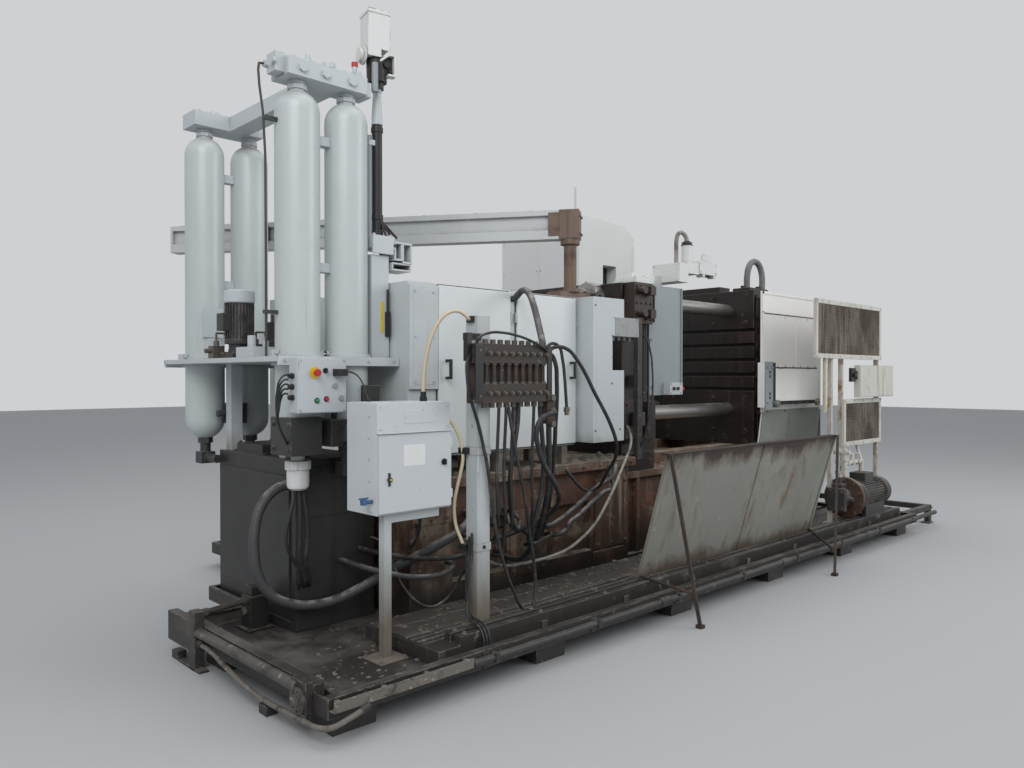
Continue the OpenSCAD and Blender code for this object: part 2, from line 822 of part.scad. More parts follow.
// Folded guard between the cabinet and the fixed platen, with its notch and relay box
module end_guard() {
    y1 = -cab_front + 60;
    color("gainsboro") {
        difference() {
            block(guard_x0, guard_x1, -end_guard_front, y1, cab_z0 + 20, cab_top);
            block(guard_x0 + cab_wall, guard_x1 + over, -end_guard_front + cab_wall, y1 + over,
                  cab_z0, cab_top - cab_wall);
            block(guard_x1 - notch_w, guard_x1 + over, -end_guard_front - over, y1 + over,
                  notch_z0, notch_z0 + notch_h);
        }
        block(cab_x1 + seat, guard_x0 + 1, -cab_front, y1, cab_z0 + 20, cab_top);
        block(guard_x1 - notch_w - 5, guard_x1 + 190, -end_guard_front + 4, -end_guard_front + 114,
              notch_z0 + notch_h - 140, notch_z0 + notch_h + 2);
    }
}

// Valve blocks on the near side of the fixed platen
module valve_block() {
    y1 = -platen_half - seat;
    y0 = y1 - valve_depth;
    color("saddlebrown") {
        block(fixed_back + 30, fixed_back + 280, y0, y1, fixed_top - 340, fixed_top);
        block(fixed_back + 279, fixed_back + 310, y0 + 20, y1, fixed_top - 250, fixed_top - 110);
        block(fixed_back + 309, fixed_back + 325, y0 + 10, y1, fixed_top - 320, fixed_top - 10);
    }
}

// Guard sheet bolted to the near side of the fixed platen
module guard_sheet() {
    y1 = -platen_half - seat;
    color("lightsteelblue")
        block(fixed_face - 90, fixed_face + sheet_reach, y1 - sheet_t, y1, sheet_z0, sheet_z1);
}

// Push button box at the foot of the guard sheet
module push_button_box() {
    y1 = -platen_half - 2 * seat - sheet_t;
    x0 = fixed_face + 118;
    color("gainsboro") {
        block(x0, x0 + button_box_w, y1 - 70, y1, sheet_z0 + 5, sheet_z0 + 110);
        bar_x(x0 + button_box_w - 1, x0 + button_box_w + 30, y1 - 35, sheet_z0 + 55, 44);
    }
}

// Spray unit on the fixed platen: base plate, arm, head with the sign on its end, nozzle box, motor
module spray_unit() {
    z0 = fixed_top + seat;
    head_x0 = fixed_face + 320;
    head_x1 = head_x0 + sign_t;
    near_y = -platen_half - 40;
    color("whitesmoke") {
        block(fixed_face - 250, fixed_face - 5, -platen_half + 10, -platen_half + 260, z0, z0 + 40);
        block(fixed_face - 120, head_x0 + 1, near_y + 190, near_y + 290, z0 + 39, z0 + 130);
        block(head_x0, head_x1, near_y, near_y + sign_len, z0 + 67, z0 + 67 + sign_h);
        block(head_x1 - 1, head_x0 + 325, near_y + 10, near_y + 120, z0 + 155, z0 + 67 + sign_h + 23);
        block(head_x0 + 324, head_x0 + 610, near_y, near_y + 100, z0 + 165, z0 + 282);
        translate([head_x0 + 210, near_y + 65, z0 + 67 + sign_h])
            cylinder(d = 100, h = 175);
        translate([head_x0 + 500, near_y + 50, z0 + 281])
            cylinder(d = 90, h = 76);
    }
}

// Side covers along the clamp unit, near and far, with brackets to the rear platen
module side_covers() {
    x1 = rear_face + 60;
    color("whitesmoke")
        for (s = [-1, 1]) {
            x0 = s < 0 ? cover_x0 : house_x0 + house_len + 20;
            ya = s * cover_out;
            yb = s * (cover_out - cover_t);
            block(x0, x1, min(ya, yb), max(ya, yb), cover_z0, cover_z1);
            yc = s * (platen_half + seat);
            for (z = [cover_z0 + 60, cover_z1 - 160])
                block(rear_face + 5, rear_face + 55, min(yb, yc) - (s > 0 ? 0 : 1),
                      max(yb, yc) + (s > 0 ? 1 : 0), z, z + 100);
            skirt(s, x0 + 20, x1);
        }
}

// Slanted skirt under a side cover
module skirt(s, x0, x1) {
    lean = 45;
    translate([x0, 0, 0])
        rotate([90, 0, 90])
            linear_extrude(height = x1 - x0)
                polygon([[s * (cover_out - cover_t), cover_z0 + 20],
                         [s * (cover_out - 4), cover_z0 + 20],
                         [s * (cover_out - 4 - lean), skirt_z0],
                         [s * (cover_out - cover_t - lean), skirt_z0]]);
}

// Covered drive of the front guard door, bolted to the near cover
module door_drive() {
    y1 = -cover_out - seat;
    y0 = y1 - drive_depth;
    z0 = cover_z0 + 50;
    x0 = cover_x0 - 86;
    color("whitesmoke") {
        block(x0, x0 + 150, y0 + 15, y1, z0, z0 + drive_h);
        block(x0 + 149, x0 + 1065, y0, y1, z0 + 60, z0 + drive_h - 60);
        for (z = [z0 + 20, z0 + drive_h - 50])
            block(x0 + 149, x0 + 1065, y0, y0 + 30, z, z + 30);
        for (x = [x0 + 300, x0 + 900])
            block(x, x + 30, y0 + 10, y0 + 29, z0 + 21, z0 + drive_h - 21);
    }
}

// Framed screens in front of the clamp unit, with the closed box between them
module screens() {
    y0 = -screen_y - 15;
    y1 = -screen_y + 15;
    f = screen_frame;
    color("whitesmoke") {
        difference() {
            block(screen_up_x0, screen_up_x1, y0, y1, screen_up_z0, screen_up_z0 + screen_up_h);
            for (y = [y0 - over, y1 - 10])
                block(screen_up_x0 + f, screen_up_x1 - f, y, y + 10 + over,
                      screen_up_z0 + f, screen_up_z0 + screen_up_h - f);
        }
        difference() {
            block(screen_low_x0, screen_up_x1, y0, y1, screen_low_z0, screen_low_z0 + screen_low_h);
            for (y = [y0 - over, y1 - 10])
                block(screen_low_x0 + f, screen_up_x1 - f, y, y + 10 + over,
                      screen_low_z0 + f, screen_low_z0 + screen_low_h - f);
        }
        block(screen_low_x0 + 215, screen_up_x1 + 170, y0 - 60, y1, screen_low_z0 + screen_low_h + 10,
              screen_up_z0 - 50);
    }
}

// Square posts behind the screens, standing on the deck
module guard_posts() {
    y0 = -screen_y + 15 + seat;
    p = guard_post;
    z1 = screen_up_z0 + screen_up_h;
    color("gainsboro") {
        for (x = [screen_low_x0 - 230, screen_up_x1 - p])
            block(x, x + p, y0, y0 + p, deck_top + seat, z1);
        block(screen_low_x0 + 5, screen_low_x0 + 5 + p, y0, y0 + p, motor_top + 20, z1);
        block(screen_low_x0 - 380, screen_low_x0 - 330, y0, y0 + 20, 1300, screen_up_z0 + 60);
    }
}

// Pump motor lying on the deck, its flange towards the injection end
module pump_motor() {
    x0 = screen_low_x0 - 90;
    y = -1450;
    z = motor_z;
    x1 = x0 + 200 + motor_len;
    color("dimgray") {
        bar_x(x0, x0 + 60, y, z, motor_flange_d);
        bar_x(x0 + 59, x0 + 201, y, z, motor_d - 60);
        bar_x(x0 + 200, x1, y, z, motor_d);
        bar_x(x1 - 1, x1 + 90, y, z, motor_d - 20);
        block(x0 + 240, x1 - 60, y - 110, y + 90, deck_top + rail_w + seat, z);
        block(x0 + 320, x0 + 520, y - 80, y + 80, z + 100, z + motor_d / 2 + 70);
    }
}

// Tall closed housing on the far side, with a window notch and a cut corner
module rear_housing() {
    x1 = house_x0 + house_len;
    z0 = tray_top + seat;
    color("white")
        difference() {
            translate([0, tray_far - rim_t - 5, 0])
                rotate([90, 0, 0])
                    linear_extrude(height = tray_far - rim_t - 5 - house_near)
                        polygon([[house_x0, z0], [x1, z0], [x1, house_top - house_chamfer],
                                 [x1 - house_chamfer, house_top - house_chamfer / 4],
                                 [house_x0, house_top]]);
            block(x1 - 560, x1 - 330, house_near - over, house_near + 150, 2650, 2880);
        }
}

// Dark oil tank under the accumulators
module oil_tank() {
    color("darkslategray") {
        block(tank_x0, tank_x1, -tank_near, tank_far, tray_top + seat, tank_top);
        block(tank_x0 + 40, tank_x0 + 300, -60, tank_far - 180, tank_top - 1, tank_top + 60);
    }
}

// Platform on its columns, with the collars that clamp the bottles
module accumulator_stand() {
    z0 = platform_top - platform_t;
    color("gainsboro") {
        difference() {
            union() {
                block(stand_x0, stand_x1, -stand_near, stand_far, z0, platform_top);
                for (x = [bottle_x, bottle_x2])
                    for (y = [-bottle_near, bottle_far])
                        translate([x, y, z0 - 20])
                            cylinder(d = bottle_d + 40, h = platform_t + 40);
            }
            for (x = [bottle_x, bottle_x2])
                for (y = [-bottle_near, bottle_far])
                    translate([x, y, z0 - 20 - over])
                        cylinder(d = bottle_d + 2 * seat, h = platform_t + 40 + 2 * over);
        }
        for (x = [tank_x0 + 20, tank_x1 - 100])
            for (y = [-tank_near + 160, tank_far - 140])
                block(x, x + 80, y, y + 80, tank_top + seat, z0 + 1);
        block(column_x - column_w / 2, column_x + column_w / 2, -bottle_near - column_w / 2,
              -bottle_near + column_w / 2, platform_top - 1, column_top);
    }
}

// Four gas bottles with round ends and necks
module accumulators() {
    r = bottle_d / 2;
    color("whitesmoke")
        for (x = [bottle_x, bottle_x2])
            for (y = [-bottle_near, bottle_far])
                translate([x, y, 0]) {
                    translate([0, 0, bottle_z0 + r])
                        cylinder(d = bottle_d, h = bottle_z1 - bottle_z0 - bottle_d);
                    translate([0, 0, bottle_z0 + r])
                        sphere(d = bottle_d);
                    translate([0, 0, bottle_z1 - r])
                        sphere(d = bottle_d);
                    translate([0, 0, bottle_z1 - 20])
                        cylinder(d = 90, h = manifold_gap + 20 - seat);
                }
}

// Manifold blocks over the bottles, joined across the machine
module manifold() {
    z0 = manifold_z0;
    z1 = manifold_z0 + manifold_h;
    w = manifold_w / 2;
    x_mid = bottle_x + 210;
    color("gainsboro") {
        block(bottle_x - 110, bottle_x2 + 90, -bottle_near - w, -bottle_near + w, z0, z1);
        block(bottle_x - 110, bottle_x2 + 60, bottle_far - w, bottle_far + w, z0, z1);
        block(x_mid - 70, x_mid + 70, -bottle_near + w - 1, bottle_far - w + 1, z0, z1);
        block(bottle_x - 170, bottle_x - 109, -bottle_near - w + 40, -bottle_near + w - 60,
              z0 + 10, z1 + 20);
        translate([x_mid, -bottle_near, z1 - 1])
            cylinder(d = 70, h = 31);
    }
}

// Mast on the column: bracket, tube and the box at its top
module mast() {
    y = -bottle_near;
    half = mast_box_w / 2;
    z0 = column_top + seat;
    color("gainsboro") {
        block(column_x - 70, column_x + 130, y - 90, y + 90, z0, z0 + 40);
        block(column_x + 90, column_x + 240, y - 80, y + 80, z0 - 90, z0 + 40);
        translate([mast_x, y, z0 + 39])
            cylinder(d = mast_d, h = mast_box_z0 - z0 - 38);
        translate([mast_x - 60, y, z0 + 39])
            cylinder(d = 34, h = 700);
        block(mast_x - 70, mast_x + 10, y - 15, y + 15, z0 + 640, z0 + 680);
        translate([mast_x, y, 3240])
            cylinder(d = mast_d + 26, h = 230);
        translate([mast_x - 15, y, mast_box_z0])
            rotate([0, 0, -mast_box_turn]) {
                block(-half, half, -half, half, 0, mast_box_h);
                block(half - 40, half + 45, -half, half - 40, -110, 45);
                bar_x(-half - 45, -half + 1, 0, 20, 110);
            }
    }
}

// Small upright motor with its pump, on the platform
module pilot_motor() {
    z0 = platform_top + seat;
    color("dimgray")
        translate([-3500, -40, z0]) {
            translate([-90, -90, 0])
                cube([180, 180, 30]);
            translate([0, 0, 29])
                cylinder(d = 130, h = 62);
            translate([0, 0, 90])
                cylinder(d = 180, h = 260);
            translate([0, 0, 349])
                cylinder(d = 190, h = 90);
            translate([-130, -45, 170])
                cube([70, 90, 110]);
        }
}

// Pilot valves beside the small motor
module pilot_valves() {
    z0 = platform_top + seat;
    color("gray") {
        block(-3390, -3200, -330, -130, z0, z0 + 110);
        block(-3370, -3290, -310, -150, z0 + 109, z0 + 230);
        block(-3270, -3220, -300, -160, z0 + 109, z0 + 190);
    }
}

// Filter bowl under the first near bottle
module filter_bowl() {
    color("white")
        translate([bottle_x, -bottle_near, 0]) {
            translate([0, 0, bottle_z0 - 60 - seat])
                cylinder(d = 80, h = 60);
            translate([0, 0, bottle_z0 - 110])
                cylinder(d = 150, h = 51);
            translate([0, 0, bottle_z0 - 230])
                cylinder(d = 130, h = 121);
        }
}

// Operator panel on the edge of the platform: case, stop button, switches and glands
module operator_panel() {
    y1 = -stand_near - seat;
    y0 = y1 - panel_d;
    z0 = platform_top - panel_h - 6;
    color("gainsboro") {
        block(panel_x0, panel_x0 + panel_w, y0, y1, z0, z0 + panel_h);
        bar_y(y0 - 42, y0 + 1, panel_x0 + 105, z0 + 228, 42);
        bar_y(y0 - 6, y0 + 1, panel_x0 + 105, z0 + 228, 66);
        bar_y(y0 - 24, y0 + 1, panel_x0 + 172, z0 + 240, 30);
        bar_y(y0 - 16, y0 + 1, panel_x0 + 118, z0 + 72, 30);
        bar_y(y0 - 16, y0 + 1, panel_x0 + 178, z0 + 80, 30);
        block(panel_x0 + 220, panel_x0 + 290, y0 - 50, y0 + 1, z0 + 210, z0 + 250);
        for (z = [z0 + 90, z0 + 150, z0 + 210])
            bar_x(panel_x0 - 30, panel_x0 + 1, y1 - 50, z, 34);
    }
}

// Sheet steel control box, open at the front behind its door
module control_box() {
    y0 = -box_front;
    y1 = y0 + box_d;
    color("whitesmoke")
        difference() {
            block(box_x0, box_x1, y0, y1, box_z0, box_top);
            block(box_x0 + box_wall, box_x1 - box_wall, y0 + box_wall, y1 - box_wall,
                  box_z0 + box_wall, box_top - box_wall);
            block(box_x0 + 25, box_x1 - 25, y0 - over, y0 + box_wall + over,
                  box_door_z0 + 15, box_door_z1 - 15);
        }
}

// Door of the control box, with its lock and knob
module control_box_door() {
    y1 = -box_front - seat;
    y0 = y1 - box_door_t;
    color("whitesmoke") {
        block(box_x0 + 4, box_x1 - 4, y0, y1, box_door_z0, box_door_z1);
        bar_y(y0 - 14, y0 + 1, box_x0 + 66, (box_door_z0 + box_door_z1) / 2 - 30, 24);
        bar_y(y0 - 26, y0 + 1, box_x1 - 60, (box_door_z0 + box_door_z1) / 2 + 40, 36);
    }
}

// Pole under the control box, on its base plate, with the tie to the tank side
module control_box_pole() {
    x = box_x0 + 87;
    y = -box_front + 50;
    p = box_pole / 2;
    color("gainsboro") {
        block(x - p, x + p, y - p, y + p, tray_top + seat, box_z0 - seat);
        block(x - 90, x + 90, y - 90, y + 90, tray_top + seat, tray_top + 12);
        block(x - p, box_x1 - 60, y - p, y + p, box_z0 - 50, box_z0 - seat);
    }
}

// Square post that holds the flow manifold
module hose_post() {
    p = post_w / 2;
    color("gainsboro") {
        block(post_x - p, post_x + p, post_y - p, post_y + p, deck_top + seat, post_top);
        block(post_x - p - 40, post_x + p + 40, post_y - p - 40, post_y + p, deck_top + seat,
              deck_top + 12);
    }
}

// Flow manifold with its row of sight tubes between two rails, and a fitting block under its
// right end for the hoses that hang there
module flow_manifold() {
    fitting_w = 70;
    fitting_h = 180;
    y1 = post_front - seat;
    y0 = y1 - flow_depth;
    x1 = flow_x0 + flow_len;
    z1 = flow_z0 + flow_h;
    tubes = 9;
    pitch = (flow_len - 150) / (tubes - 1);
    color("dimgray") {
        block(flow_x0, x1, y1 - 20, y1, flow_z0, z1);
        block(flow_x0, x1, y0, y1 - 19, flow_z0, flow_z0 + 110);
        block(flow_x0, x1, y0, y1 - 19, z1 - 110, z1);
        for (k = [0 : tubes - 1])
            translate([flow_x0 + 100 + k * pitch, y0 + 25, flow_z0 + 109])
                cylinder(d = 26, h = flow_h - 218);
        block(x1 - 20, x1 - 20 + fitting_w, y0 + 10, y1 - 20, flow_z0 + 40 - fitting_h, flow_z0 + 40);
    }
}

// Fixed post of the jib, on its base plate
module jib_post() {
    color("saddlebrown") {
        block(jib_x - 150, jib_x + 190, jib_y - 40, jib_y + 100, cab_top + seat, jib_z0);
        translate([jib_x, jib_y, jib_z0 - 1])
            cylinder(d = jib_post_d, h = jib_bottom - jib_z0 + 1 - seat);
        translate([jib_x, jib_y, jib_bottom - 40])
            cylinder(d = jib_post_d + 50, h = 40 - seat);
    }
}

// Jib beam with its head over the post and a thin rod on top
module jib_beam() {
    color("gainsboro")
        translate([jib_x, jib_y, 0])
            rotate([0, 0, jib_angle]) {
                difference() {
                    block(60, jib_len, -jib_beam_w / 2, jib_beam_w / 2, jib_bottom, jib_top);
                    for (y = [-jib_beam_w / 2 - over, jib_beam_w / 2 - 30])
                        block(160, jib_len - 20, y, y + 30 + over, jib_bottom + 70, jib_top - 40);
                }
                block(-70, 61, -70, 70, jib_bottom, jib_top);
                translate([-40, 0, jib_top - 1])
                    cylinder(d = 16, h = 175);
                for (x = [1150, 1650])
                    block(x, x + 90, -jib_beam_w / 2 - 10, -jib_beam_w / 2 + 20,
                          jib_bottom + 60, jib_top - 30);
            }
}

// Leaning splash guard in front of the die space, with its folded edges
module splash_guard() {
    x1 = splash_x0 + splash_len;
    color("gray") {
        translate([splash_x0, 0, 0])
            rotate([90, 0, 90])
                linear_extrude(height = splash_len)
                    polygon([[-splash_foot, splash_z0],
                             [-splash_foot + splash_t, splash_z0],
                             [-splash_foot - splash_lean + splash_t, splash_top],
                             [-splash_foot - splash_lean, splash_top]]);
        block(splash_x0, x1, -splash_foot - splash_lean, -splash_foot - splash_lean + 60,
              splash_top - 8, splash_top);
        block(splash_x0, x1, -splash_foot, -splash_foot + 60, splash_z0, splash_z0 + 10);
    }
}

// Two prop rods from the floor to the top edge of the splash guard
module splash_props() {
    face = -splash_foot - splash_lean;
    y_top = face - prop_d - 4;
    z_top = splash_top - 4;
    color("dimgray")
        for (end = [[53, -7], [splash_len - 503, splash_len - 23]]) {
            x = splash_x0 + end[0];
            x_top = splash_x0 + end[1];
            square_bar([x, prop_y, prop_d / 2], [x_top, y_top, z_top], prop_d);
            block(x_top - 7, x_top + 7, y_top, face - seat, z_top - 7, z_top + 7);
            block(x - prop_d, x + prop_d, prop_y - prop_d, prop_y + prop_d, 0, prop_d);
        }
}

module suction_hose() {
    color("dimgray")
        swept(suction_route, suction_d, [0.1, 1, 0.9]);
}
module feed_hose() {
    color("dimgray")
        swept(feed_route, feed_d, [1, 0, 0.2]);
}
module drop_hose_left() {
    color("black")
        swept(drop_left_route, drop_d, [1, -1, 0.1]);
}
module drop_hose_right() {
    color("black")
        swept(drop_right_route, drop_d, [1, -1, 0.1]);
}
module cream_hose() {
    color("wheat")
        swept(cream_route, cream_d, [0.4, 1, 0]);
}

base_tray();
end_frame();
end_rack();
deck();
machine_bed();
clamp_bed();
fixed_platen();
moving_platen();
rear_platen();
tie_bars();
closing_cylinder();
closing_rod();
shot_unit();
shot_sleeve();
shot_cabinet();
cabinet_door_left();
cabinet_door_right();
shot_cover_far();
end_guard();
valve_block();
guard_sheet();
push_button_box();
spray_unit();
side_covers();
door_drive();
screens();
guard_posts();
pump_motor();
rear_housing();
oil_tank();
accumulator_stand();
accumulators();
manifold();
mast();
pilot_motor();
pilot_valves();
filter_bowl();
operator_panel();
control_box();
control_box_door();
control_box_pole();
hose_post();
flow_manifold();
jib_post();
jib_beam();
splash_guard();
splash_props();
suction_hose();
feed_hose();
drop_hose_left();
drop_hose_right();
cream_hose();
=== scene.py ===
import math
import random
import bmesh
import bpy
from mathutils import Matrix, Vector


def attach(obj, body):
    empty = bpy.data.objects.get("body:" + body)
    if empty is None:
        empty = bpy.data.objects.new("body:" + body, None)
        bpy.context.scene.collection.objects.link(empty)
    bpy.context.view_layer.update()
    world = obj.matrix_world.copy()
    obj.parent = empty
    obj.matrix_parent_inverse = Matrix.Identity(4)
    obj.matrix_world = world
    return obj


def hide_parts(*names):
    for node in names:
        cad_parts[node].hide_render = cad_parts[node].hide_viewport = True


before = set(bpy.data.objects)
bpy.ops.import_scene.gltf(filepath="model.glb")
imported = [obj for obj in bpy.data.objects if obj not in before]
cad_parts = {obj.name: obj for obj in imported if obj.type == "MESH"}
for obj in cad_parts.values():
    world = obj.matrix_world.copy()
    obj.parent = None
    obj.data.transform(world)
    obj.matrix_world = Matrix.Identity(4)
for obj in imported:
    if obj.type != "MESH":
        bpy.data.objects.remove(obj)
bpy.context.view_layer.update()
scene = bpy.context.scene

# Camera at standing height off the operator's side of the injection end, about 30 degrees from
# the machine's side, and a pale floor under soft studio light.
EYE = (-5.8, -4.9, 1.65)
LENS = 28.3
YAW = -44.02
PITCH = 0.51
PALE = (0.62, 0.63, 0.64, 1)
camera = bpy.data.objects.new("camera", bpy.data.cameras.new("camera"))
camera.data.lens = LENS
camera.data.clip_end = 200
camera.location = EYE
camera.rotation_euler = (math.radians(90 - PITCH), 0, math.radians(YAW))
scene.collection.objects.link(camera)
scene.camera = camera
scene.view_settings.view_transform = "Standard"


def soft_lamp(name, place, aim, size, power):
    """A large square area lamp that points at aim."""
    lamp = bpy.data.objects.new(name, bpy.data.lights.new(name, "AREA"))
    lamp.data.size = size
    lamp.data.energy = power
    lamp.location = place
    lamp.rotation_euler = (Vector(aim) - Vector(place)).to_track_quat("-Z", "Y").to_euler()
    scene.collection.objects.link(lamp)


soft_lamp("key_lamp", (-8.5, -6, 7.5), (-0.5, 0, 1.2), 6, 470)
soft_lamp("side_lamp", (6, -9, 6), (1, 0, 1.2), 6, 360)
soft_lamp("top_lamp", (0, 1, 10), (0, 0, 0), 9, 360)


def shade(tree, kind, inputs=None, **settings):
    """Adds a shader node. An input is given as a value or as the socket that feeds it."""
    made = tree.nodes.new("ShaderNode" + kind)
    for name, value in settings.items():
        setattr(made, name, value)
    for name, value in (inputs or {}).items():
        if isinstance(value, bpy.types.NodeSocket):
            tree.links.new(value, made.inputs[name])
        else:
            made.inputs[name].default_value = value
    return made


world = bpy.data.worlds.new("studio")
world.use_nodes = True
world.node_tree.nodes.clear()
seen = shade(world.node_tree, "LightPath").outputs
shown = shade(world.node_tree, "Math", {0: seen["Is Camera Ray"], 1: seen["Is Glossy Ray"]},
              operation="MAXIMUM").outputs[0]
light = shade(world.node_tree, "Background", {"Color": (0.93, 0.96, 1, 1), "Strength": 0.5})
pale = shade(world.node_tree, "Background", {"Color": PALE, "Strength": 1})
both = shade(world.node_tree, "MixShader", {0: shown, 1: light.outputs[0], 2: pale.outputs[0]})
shade(world.node_tree, "OutputWorld", {"Surface": both.outputs[0]})
scene.world = world

floor_form = bmesh.new()
bmesh.ops.create_grid(floor_form, x_segments=1, y_segments=1, size=40)
floor_mesh = bpy.data.meshes.new("floor")
floor_form.to_mesh(floor_mesh)
floor_form.free()
floor = bpy.data.objects.new("floor", floor_mesh)
scene.collection.objects.link(floor)
floor_paint = bpy.data.materials.new("floor_paint")
floor_paint.use_nodes = True
floor_shader = floor_paint.node_tree.nodes["Principled BSDF"]
floor_shader.inputs["Base Color"].default_value = (0.42, 0.43, 0.44, 1)
floor_shader.inputs["Roughness"].default_value = 0.8
floor_mesh.materials.append(floor_paint)

# Hoses and cables, which hang loose between the tank, the bed, the manifold on its post and the
# control box. They are rubber, braided or smooth, dulled by dust and oil, and each is one curve
# from fitting to fitting.
def effect(name, *labels):
    """A node group that makes one mask, with a number input for each label."""
    tree = bpy.data.node_groups.new(name, "ShaderNodeTree")
    for label in labels:
        tree.interface.new_socket(label, in_out="INPUT", socket_type="NodeSocketFloat")
    tree.interface.new_socket("Mask", in_out="OUTPUT", socket_type="NodeSocketFloat")
    return tree, tree.nodes.new("NodeGroupInput").outputs, tree.nodes.new("NodeGroupOutput")


def math_node(tree, operation, a, b, clamp=True):
    """Two values reckoned into one, held between 0 and 1 unless clamp is off."""
    return shade(tree, "Math", {0: a, 1: b}, operation=operation, use_clamp=clamp).outputs[0]


def spread(tree, value, low, high):
    """Stretches the part of a value between low and high to the range from 0 to 1."""
    return shade(tree, "MapRange", {"Value": value, "From Min": low, "From Max": high}).outputs[0]


def cloud(tree, scale, stretch=(1, 1, 1), detail=6, roughness=0.6, distortion=0):
    """Noise over the object's own space, pulled out along an axis by stretch."""
    where = shade(tree, "Mapping", {"Vector": shade(tree, "TexCoord").outputs["Object"], "Scale": stretch})
    return shade(tree, "TexNoise", {"Vector": where.outputs[0], "Scale": scale, "Detail": detail,
                                    "Roughness": roughness, "Distortion": distortion}).outputs["Fac"]


def cut(tree, value, level, cover, weight, blur):
    """0 where a value is under a level that the cover lowers, and 1 from blur above it."""
    low = math_node(tree, "SUBTRACT", level, math_node(tree, "MULTIPLY", cover, weight), False)
    return spread(tree, value, low, math_node(tree, "ADD", low, blur, False))


patches, values, out = effect("patches", "Size", "Cover", "Blur")
spots = cloud(patches, values["Size"], detail=9, roughness=0.68, distortion=0.4)
patches.links.new(cut(patches, spots, 0.72, values["Cover"], 0.42, values["Blur"]), out.inputs["Mask"])

runs, values, out = effect("runs", "Size", "Cover", "Strength")
fine = cloud(runs, values["Size"], stretch=(1, 1, 0.045), detail=4)
wide = cloud(runs, 2.2, stretch=(1, 1, 0.5), detail=3)
drips = math_node(runs, "MULTIPLY", cut(runs, fine, 0.74, values["Cover"], 0.44, 0.16),
                  spread(runs, wide, 0.38, 0.6))
runs.links.new(math_node(runs, "MULTIPLY", drips, values["Strength"]), out.inputs["Mask"])

edges, values, out = effect("edges", "Width", "Cover")
flat = shade(edges, "NewGeometry").outputs["Normal"]
rounded = shade(edges, "Bevel", {"Radius": values["Width"]}, samples=4).outputs[0]
bend = shade(edges, "VectorMath", {0: flat, 1: rounded}, operation="DOT_PRODUCT").outputs["Value"]
turn = spread(edges, math_node(edges, "SUBTRACT", 1, bend, False), 0.015, 0.12)
chips = cloud(edges, 18, detail=8, roughness=0.7)
edges.links.new(math_node(edges, "MULTIPLY", turn, cut(edges, chips, 0.78, values["Cover"], 0.5, 0.1)),
                out.inputs["Mask"])

dust, values, out = effect("dust", "Size", "Cover")
up = shade(dust, "SeparateXYZ", {0: shade(dust, "NewGeometry").outputs["Normal"]}).outputs["Z"]
lying = cut(dust, cloud(dust, values["Size"]), 0.66, values["Cover"], 0.4, 0.25)
dust.links.new(math_node(dust, "MULTIPLY", spread(dust, up, 0.35, 0.85), lying), out.inputs["Mask"])

# Creases and recesses found by ambient occlusion and broken up by noise: painted shade there, with soot in
# it.
corners, values, out = effect("corners", "Reach", "Cover")
shut = shade(corners, "AmbientOcclusion", {"Distance": values["Reach"]}, samples=6, only_local=True)
held = spread(corners, math_node(corners, "SUBTRACT", 1, shut.outputs["AO"], False), 0.15, 0.75)
corners.links.new(math_node(corners, "MULTIPLY", math_node(corners, "MULTIPLY", held, values["Cover"]),
                            spread(corners, cloud(corners, 9), 0.3, 0.6)), out.inputs["Mask"])

band, values, out = effect("band", "From", "To", "Ragged")
height = shade(band, "SeparateXYZ", {0: shade(band, "TexCoord").outputs["Object"]}).outputs["Z"]
wave = cloud(band, 3.2, stretch=(1, 1, 0.35), detail=9, roughness=0.7)
lift = math_node(band, "MULTIPLY", math_node(band, "SUBTRACT", wave, 0.5, False), values["Ragged"], False)
level = math_node(band, "ADD", height, lift, False)
band.links.new(spread(band, level, values["From"], values["To"]), out.inputs["Mask"])


def finish(name, colour, roughness, layers=(), metal=0, grain=(90, 0.15), vary=0.1):
    """A surface: its base colour, then layers, each of an effect, its values, a colour and a roughness."""
    material = bpy.data.materials.new(name)
    material.use_nodes = True
    tree = material.node_tree
    surface = tree.nodes["Principled BSDF"]
    deep = tuple(c * (1 - vary) for c in colour) + (1,)
    tone = shade(tree, "Mix", {0: spread(tree, cloud(tree, 1.7, detail=5), 0.3, 0.7), 6: deep,
                               7: tuple(colour) + (1,)}, data_type="RGBA").outputs[2]
    rough = shade(tree, "Mix", {0: cloud(tree, 14), 2: roughness * 0.85, 3: min(1, roughness * 1.15)})
    rough = rough.outputs[0]
    for kind, numbers, paint, paint_rough in layers:
        mask = shade(tree, "Group", numbers_for(kind, numbers), node_tree=kind).outputs["Mask"]
        tone = shade(tree, "Mix", {0: mask, 6: tone, 7: tuple(paint) + (1,)}, data_type="RGBA").outputs[2]
        rough = shade(tree, "Mix", {0: mask, 2: rough, 3: paint_rough}).outputs[0]
    tree.links.new(tone, surface.inputs["Base Color"])
    tree.links.new(rough, surface.inputs["Roughness"])
    surface.inputs["Metallic"].default_value = metal
    bump = shade(tree, "Bump", {"Height": cloud(tree, grain[0]), "Strength": grain[1], "Distance": 0.002})
    tree.links.new(bump.outputs[0], surface.inputs["Normal"])
    return material


def numbers_for(kind, numbers):
    """The group's number inputs in their own order, by name."""
    labels = [s.name for s in kind.interface.items_tree if s.in_out == "INPUT"]
    return dict(zip(labels, numbers))


